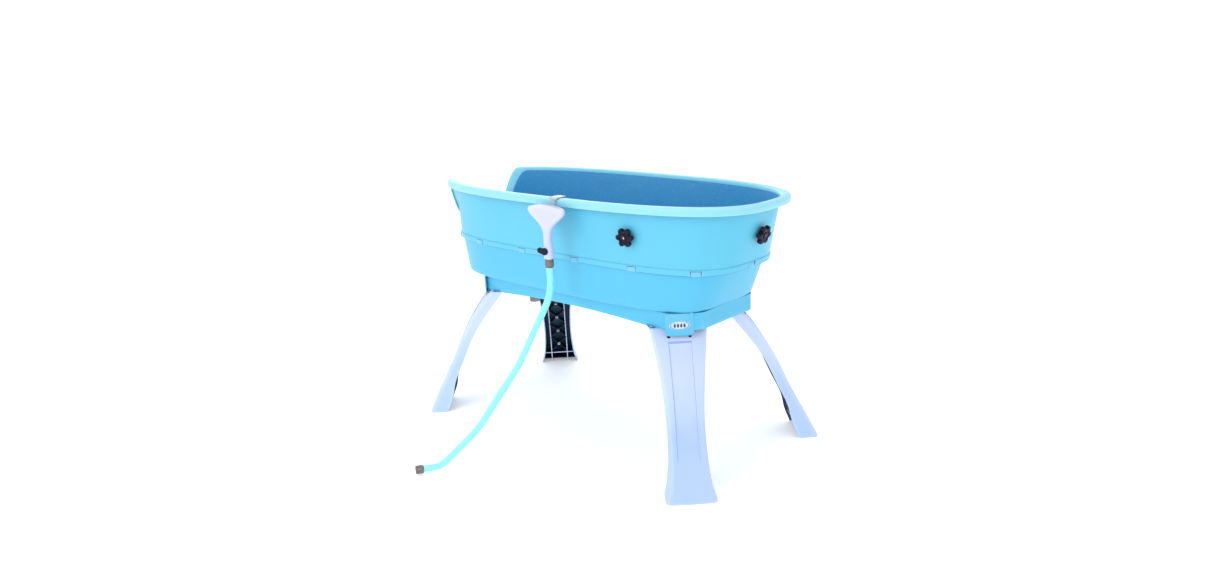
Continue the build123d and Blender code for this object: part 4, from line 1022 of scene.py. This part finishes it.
def lobed(radius, turn):
    """Six round lobes, fading out towards the hub."""
    share = min(max((radius - 0.012) / (KNOB_R - 0.012), 0.0), 1.0)
    off = abs((turn + math.pi / 6) % (math.pi / 3) - math.pi / 6)
    lobe = LOBE_PITCH * math.cos(off) + math.sqrt(max(LOBE_R ** 2 - (LOBE_PITCH * math.sin(off)) ** 2, 0.0))
    edge = max(lobe if LOBE_PITCH * math.sin(off) < LOBE_R else 0.0, KNOB_CORE)
    return radius - share * (KNOB_R - edge)


def star_knob(side):
    foot, face, top = 0.0026, KNOB_FACE, KNOB_TOP
    profile = [
        (0.0066, foot), (0.0110, foot), (0.0110, face - 0.0006), (0.0150, face), (0.0250, face + 0.0003),
        (0.0270, face + 0.0014), (KNOB_R, face + 0.0040), (KNOB_R, top - 0.0060), (0.0276, top - 0.0034),
        (0.0262, top - 0.0012), (0.0235, top - 0.0002), (0.0200, top), (0.0160, top - 0.0008),
        (0.0125, top - 0.0018), (0.0105, top - 0.0018), (0.0092, top - 0.0002), (0.0082, top), (0.0040, top),
        (0.0034, top - 0.0006), (0.0034, top - 0.0009), (0.0066, top - 0.0009),
    ]
    body = f"knob_{side}"
    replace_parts(turned(f"star_{body}", f"{body}_turn", profile, lobed, body, BLACK, 35.0, 144), body)


for side in ("end", "near", "far"):
    star_knob(side)


# ---- tethers
RIBBON_EDGE = (
    (-0.5, -0.25), (-0.46, -0.5), (0.46, -0.5), (0.5, -0.25), (0.5, 0.25), (0.46, 0.5), (-0.46, 0.5), (-0.5, 0.25))


def ribbon(name, path, across, width, thick, body, material):
    """Closed strap of even thickness along a path of points, with softened edges."""
    points, rows = [], len(path)
    for index, spot in enumerate(path):
        run = (path[min(index + 1, rows - 1)] - path[max(index - 1, 0)]).normalized()
        face = run.cross(across).normalized()
        points += [spot + across * (u * width) + face * (v * thick) for u, v in RIBBON_EDGE]
    faces = ring_faces(rows, len(RIBBON_EDGE)) + end_caps(rows, len(RIBBON_EDGE))
    return mesh_object(name, points, faces, body, material, smooth=50.0)


def tether(side):
    """Strap looped through the bolt's eye and the snap's eye, with its ends stitched together."""
    _, across, up, axis = joint_frame(f"knob_{side}_turn")
    low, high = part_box(f"tether_{side}")
    hang = box_middle(f"tether_{side}")
    tall = (high[2] - low[2]) / up.z
    head, foot = tall / 2 + 0.0045, -tall / 2 - 0.0025
    gap = 0.0017
    path = [(0.0040 * math.cos(t), head + 0.0040 * math.sin(t)) for t in np.linspace(0, math.pi, 13)]
    path += [(-0.0030, head - 0.004), (-gap, head - 0.010), (-gap, foot + 0.008), (-0.0030, foot + 0.003)]
    path += [(-0.0036 * math.cos(t), foot - 0.0036 * math.sin(t)) for t in np.linspace(0, math.pi, 11)]
    path += [(0.0030, foot + 0.003), (gap, foot + 0.008), (gap, head - 0.010), (0.0030, head - 0.004)]
    spots = [hang + axis * a + up * b for a, b in path]
    strap = ribbon(f"tether_strap_{side}", spots, across, 0.0195, 0.0016, "tub", WEBBING)
    for low_edge in (head - 0.013, foot + 0.007):
        for column in range(7):
            along = across * ((column - 3) * 0.0024)
            stitch = [
                hang + along + up * (low_edge + d) + axis * (0.0026 if d else 0.0023) for d in (0, 0.0006, 0.0012)]
            join_mesh(strap, ribbon("stitch", stitch, across, 0.0008, 0.0006, "tub", THREAD))
    shade(strap, 50.0)
    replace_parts(strap, f"tether_{side}")


for side in ("end", "near", "far"):
    tether(side)


# ---- wand
VALVE = Vector(JOINTS["valve_turn"]["pos_m"])
WAND_X, WAND_Y = VALVE.x, VALVE.y
# millimetres: height, half width, half thickness, rise of the ring's middle over its sides
WAND_RINGS = metres(
    (611, 13.5, 13.5, 0), (611.4, 14.2, 14.2, 0), (613, 14.5, 14.5, 0), (626, 14.5, 14.5, 0),
    (640, 14.4, 14.3, 0), (648, 13.6, 13.4, 0), (656, 12.8, 12.6, 0), (670, 12.5, 12, 0),
    (682, 13.2, 11.6, 0.2), (690, 15.2, 11.2, 0.5), (698, 18.8, 10.9, 1), (706, 25.5, 10.8, 2),
    (714, 34.4, 11, 3.3), (722, 45.3, 11.3, 5), (730, 56.5, 11.7, 7), (737, 65.2, 12.1, 8.8),
    (741, 69.4, 11.3, 10), (744, 71.2, 12.1, 10.6), (747.5, 72.1, 12.5, 10.8), (751, 72.2, 12.5, 10.6),
    (754, 71.4, 12.1, 10), (756.2, 70, 11, 9.2), (757.7, 67.6, 9, 8.4), (758.4, 64.7, 6, 7.8))


def wand_section(width, thick, power, turns):
    """Superellipse of the wand at a height, round or nearly square with the power."""
    c, s = np.cos(turns), np.sin(turns)
    k = (np.abs(c) ** power + np.abs(s) ** power) ** (-1 / power)
    return width * k * c, thick * k * s


def wand_half(name, node, front):
    """One moulded half of the wand, closed along the parting plane."""
    start, gap = (-math.pi, -0.00025) if front else (0.0, 0.00025)
    turns = np.linspace(start, start + math.pi, 49)
    points = []
    for z, width, thick, rise in WAND_RINGS:
        power = 2.0 + 1.6 * min(max((z - 0.69) / 0.04, 0), 1)
        xs, ys = wand_section(width, thick, power, turns)
        ys = ys + gap
        back = np.linspace(xs[-1], xs[0], 10)[1:-1]
        xs = np.concatenate([xs, back])
        ys = np.concatenate([ys, np.full(8, gap)])
        for x, y in zip(xs, ys):
            points.append((WAND_X + x, WAND_Y + y, z + rise * (1 - (x / width) ** 2)))
    rows, count = len(WAND_RINGS), len(xs)
    faces = ring_faces(rows, count) + end_caps(rows, count)
    half = mesh_object(name, points, faces, "wand", WAND, smooth=40.0)
    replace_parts(half, node)
    return half


def hanging_loop(wand_back):
    """Two cheeks and a bar behind the wand's neck, which drop over the hanger's tongue."""
    low, high = 0.717, 0.728
    tongue_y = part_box("wand_hanger")[0][1] + 0.00125
    depth = tongue_y + 0.0035 - (WAND_Y + 0.009)
    cheek_y = WAND_Y + 0.009 + depth / 2
    for name, x, y, width, deep, bevel in (
        ("loop_cheek", -0.0122, cheek_y, 0.0032, depth, 0.0008),
        ("loop_cheek", 0.0122, cheek_y, 0.0032, depth, 0.0008),
        ("loop_bar", 0.0, tongue_y + 0.0030, 0.0275, 0.0022, 0.0007),
    ):
        middle, size = Vector((WAND_X + x, y, (low + high) / 2)), (width, deep, high - low)
        block = placed_box(name, middle, (X_AXIS, Y_AXIS, UP), size, "wand", WAND)
        join_mesh(wand_back, bevelled(block, bevel))


wand_half("wand_shell_front", "wand_front", True)
hanging_loop(wand_half("wand_shell_back", "wand_back", False))


def valve_lever():
    """Short lever with a round hub and two finger lobes."""
    face = WAND_Y - 0.0145 - 0.0006
    grow, hub_r = 1.12, 0.0092
    hub = [(hub_r * math.cos(t), hub_r * math.sin(t)) for t in np.linspace(-2.30, 2.30, 25)]
    arm = metres(
        (-8.5, 7.8), (-12, 7.4), (-15.5, 8.2), (-19, 8.2), (-21.8, 6.6), (-23.2, 3.6), (-23.2, -0.2),
        (-21.8, -3.6), (-19, -5.4), (-15.5, -5.6), (-12, -6), (-8.5, -7.4))
    outline = [(grow * u, grow * v) for u, v in hub + arm]
    crest = [(u * 0.82 if u > -0.009 else u * 0.9 - 0.0012, v * 0.62) for u, v in outline]
    base = Vector((WAND_X, face, VALVE.z))
    lever, top = (
        plate(name, base - Y_AXIS * rise, X_AXIS, UP, -Y_AXIS, shape, thick, bevel, "valve", BLACK)
        for name, rise, shape, thick, bevel in (
            ("lever_moulded", 0.0, outline, 0.0066, 0.0020), ("lever_crest", 0.0062, crest, 0.0012, 0.0009)))
    join_mesh(lever, top)
    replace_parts(lever, "valve_lever")


valve_lever()


# ---- hanger
def filleted(corners, radii, steps=7):
    """Path through corners with each inner corner rounded."""
    path = [corners[0]]
    for before, corner, after, radius in zip(corners, corners[1:], corners[2:], radii):
        one, two = (before - corner).normalized(), (after - corner).normalized()
        half = one.angle(two) / 2
        reach = min(radius / math.tan(half), (before - corner).length * 0.95, (after - corner).length * 0.95)
        centre = corner + (one + two).normalized() * (reach / math.cos(half))
        start, end = corner + one * reach - centre, corner + two * reach - centre
        turn = start.angle(end)
        for step in range(steps + 1):
            share = step / steps
            path.append(centre + (start * math.sin((1 - share) * turn) + end * math.sin(share * turn)) / math.sin(turn))
    path.append(corners[-1])
    return path


def hanger():
    """Clear strip bent over the rim, with the tongue that the wand's loop drops over."""
    low, high = map(Vector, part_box("wand_hanger"))
    thick = 0.0025
    inner_y, outer_y, tongue_y = high.y - thick / 2, low.y + 0.008 + thick / 2, low.y + thick / 2
    top = high.z - thick / 2
    inner_z, tongue_z, foot = 0.745, 0.728, 0.712
    spots = [Vector((WAND_X, y, z)) for y, z in (
        (inner_y, inner_z), (inner_y, top), (outer_y, top), (outer_y, foot), (tongue_y, foot), (tongue_y, tongue_z))]
    strip = filleted(spots, (0.004, 0.004, 0.002, 0.002))
    cut_at = max(i for i, p in enumerate(strip) if p.y > outer_y - 0.001 and p.z > foot + 0.004)
    wide = ribbon("hanger_strip", strip[:cut_at + 1], X_AXIS, 0.032, thick, "tub", CLEAR)
    narrow = ribbon("hanger_tongue", strip[cut_at:], X_AXIS, 0.020, thick, "tub", CLEAR)
    join_mesh(wide, narrow)
    shade(wide, 40.0)
    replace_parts(wide, "wand_hanger")


hanger()


# ---- hose and couplings
def knurled(radius, turn):
    """Fine ridges on the grip of a nut."""
    grip = min(max((radius - 0.0119) / 0.0009, 0), 1)
    return radius - grip * 0.00055 * (0.5 + 0.5 * math.cos(36 * turn))


def coupling(node):
    """Swivel nut with a knurled grip between two plain bands."""
    profile = metres(
        (7, 0), (10.8, 0), (11.7, 0.8), (11.9, 3), (12.7, 3.8), (12.8, 5), (12.8, 19), (12.7, 20.2),
        (11.9, 20.8), (11.8, 23.2), (11.2, 24), (9.8, 24), (9.32, 23.4), (9.32, 5), (9.32, 3), (7, 3))
    nut = turned(f"{node}_knurled", f"{node}_turn", profile, knurled, node, NICKEL, 30.0, 288)
    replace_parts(nut, node)


coupling("wand_nut")
coupling("supply_nut")


def hose():
    """Soft vinyl hose from the wand's nut down to the supply nut."""
    end = Vector(JOINTS["supply_nut_turn"]["pos_m"])
    top = Vector((WAND_X, WAND_Y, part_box("wand_nut")[0][2] - 0.0003))
    fall = Vector((end.x - WAND_X, end.y - WAND_Y, 0))
    reach, along = fall.length, fall.normalized()

    def spot(distance, z):
        return Vector((WAND_X, WAND_Y, 0)) + along * distance + UP * z

    corners = [top, *(spot(distance, z) for distance, z in (
        (0, 0.505), (0.110, 0.300), (0.245, 0.118), (0.362, end.z), (reach - 0.0003, end.z)))]
    rough = filleted(corners, (0.18, 0.30, 0.30, 0.063), steps=24)
    lengths = np.concatenate([[0], np.cumsum([(b - a).length for a, b in zip(rough, rough[1:])])])
    even = np.linspace(0, lengths[-1], 220)
    path = [Vector([np.interp(d, lengths, [p[i] for p in rough]) for i in range(3)]) for d in even]
    side = along.cross(UP)
    points, sides, last = [], 32, len(path) - 1
    bore, edge, outer = 0.0066, 0.0098, 0.0100
    radii = [(bore, 0), (edge, 0)] + [(outer, i) for i in range(1, last)] + [(edge, last), (bore, last)]
    for radius, index in radii:
        run = (path[min(index + 1, last)] - path[max(index - 1, 0)]).normalized()
        up = side.cross(run).normalized()
        for t in circle(sides):
            points.append(path[index] + side * (radius * math.cos(t)) + up * (radius * math.sin(t)))
    faces = ring_faces(len(radii), sides)
    tube = mesh_object("hose_vinyl", points, faces, None, HOSE, smooth=60.0)
    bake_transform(tube)
    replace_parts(tube, "hose")


hose()

# ---- finishes of the shown CAD nodes
FINISHES = {
    STEEL: ("eye_bolts", "bolt_washers", "snap_hooks", "snap_gate_end", "snap_gate_near", "snap_gate_far",
            "gate_pins", "spray_plate", "drain_strainer"),
    BRASS: ("knob_insert_end", "knob_insert_near", "knob_insert_far", "valve_ball", "wand_barb", "supply_barb"),
    SEAL: ("bolt_seals", "drain_gasket", "drain_plug", "wand_washer", "supply_washer"),
    SCREW: ("leg_screws", "lever_screw"),
    GREY: ("drain_body", "drain_nut"),
    NYLON: ("valve_cartridge",),
    WAND: ("wand_tail",),
}
for finish, names in FINISHES.items():
    for name in names:
        paint(NODES[name], finish)


# ---- camera, lights, floor
def studio():
    """Pale floor that curves up into a wall all round, with the world's light and four lamps."""
    turns = circle(96)
    profile = [(1.0, 0.0), (4.0, 0.0), (9.0, 0.0)]
    profile += [(9.0 + 3.0 * math.sin(t), 3.0 - 3.0 * math.cos(t)) for t in np.linspace(0, math.pi / 2, 13)[1:]]
    profile.append((12.0, 7.0))
    points = [(r * math.cos(t), r * math.sin(t), z) for r, z in profile for t in turns] + [(0, 0, 0)]
    faces = ring_faces(len(profile), len(turns))
    faces += [((i + 1) % len(turns), i, len(points) - 1) for i in range(len(turns))]
    floor_mesh = bpy.data.meshes.new("studio_floor")
    floor_mesh.from_pydata(points, [], faces)
    floor_mesh.polygons.foreach_set("use_smooth", [True] * len(floor_mesh.polygons))
    floor = bpy.data.objects.new("studio_floor", floor_mesh)
    bpy.context.collection.objects.link(floor)
    material, tree, shader, coords = new_material("studio_floor_paint")
    clouds = spread(tree, noise(tree, coords, 0.8), 0.0, 1.0)
    fill(tree, shader, {
        "Base Color": mixed(tree, clouds, (0.93, 0.93, 0.94), (0.90, 0.90, 0.915)),
        "Roughness": 0.85,
        "Emission Color": (1.0, 1.0, 1.0),
        "Emission Strength": 0.32,
    })
    paint(floor, material)
    world = bpy.data.worlds.new("studio")
    world.use_nodes = True
    fill(world.node_tree, world.node_tree.nodes["Background"], {"Color": (0.93, 0.96, 1.0), "Strength": 0.66})
    bpy.context.scene.world = world
    bpy.context.scene.view_settings.view_transform = "Standard"
    for name, place, size, power in (
        ("key", (-0.4, -3.6, 2.6), 2.2, 46.0),
        ("fill", (3.6, -0.6, 2.0), 2.4, 9.0),
        ("rear", (-3.2, 2.6, 2.6), 2.6, 34.0),
        ("top", (-0.2, 0.2, 4.2), 2.2, 46.0),
    ):
        light = bpy.data.lights.new(name, "AREA")
        light.energy = power
        light.size = size
        lamp = bpy.data.objects.new(name, light)
        lamp.location = place
        lamp.rotation_euler = (Vector((0, 0, 0.5)) - Vector(place)).to_track_quat("-Z", "Y").to_euler()
        bpy.context.collection.objects.link(lamp)


def camera():
    """Camera at the photograph's place, from its heading, tilt and roll in degrees."""
    heading, tilt, roll = (math.radians(a) for a in (43.146, 14.85, -2.606))
    view = Vector((-math.sin(heading) * math.cos(tilt), math.cos(heading) * math.cos(tilt), -math.sin(tilt)))
    level = Vector((math.cos(heading), math.sin(heading), 0))
    upright = level.cross(view)
    right = level * math.cos(roll) + upright * math.sin(roll)
    up = upright * math.cos(roll) - level * math.sin(roll)
    data = bpy.data.cameras.new("view")
    data.lens = 26.474
    data.sensor_width = 36.0
    eye = bpy.data.objects.new("view", data)
    rotation = Matrix((right, up, -view)).transposed().to_4x4()
    eye.matrix_world = Matrix.Translation((1.932407, -2.026553, 1.207)) @ rotation
    bpy.context.collection.objects.link(eye)
    bpy.context.scene.camera = eye


studio()
camera()
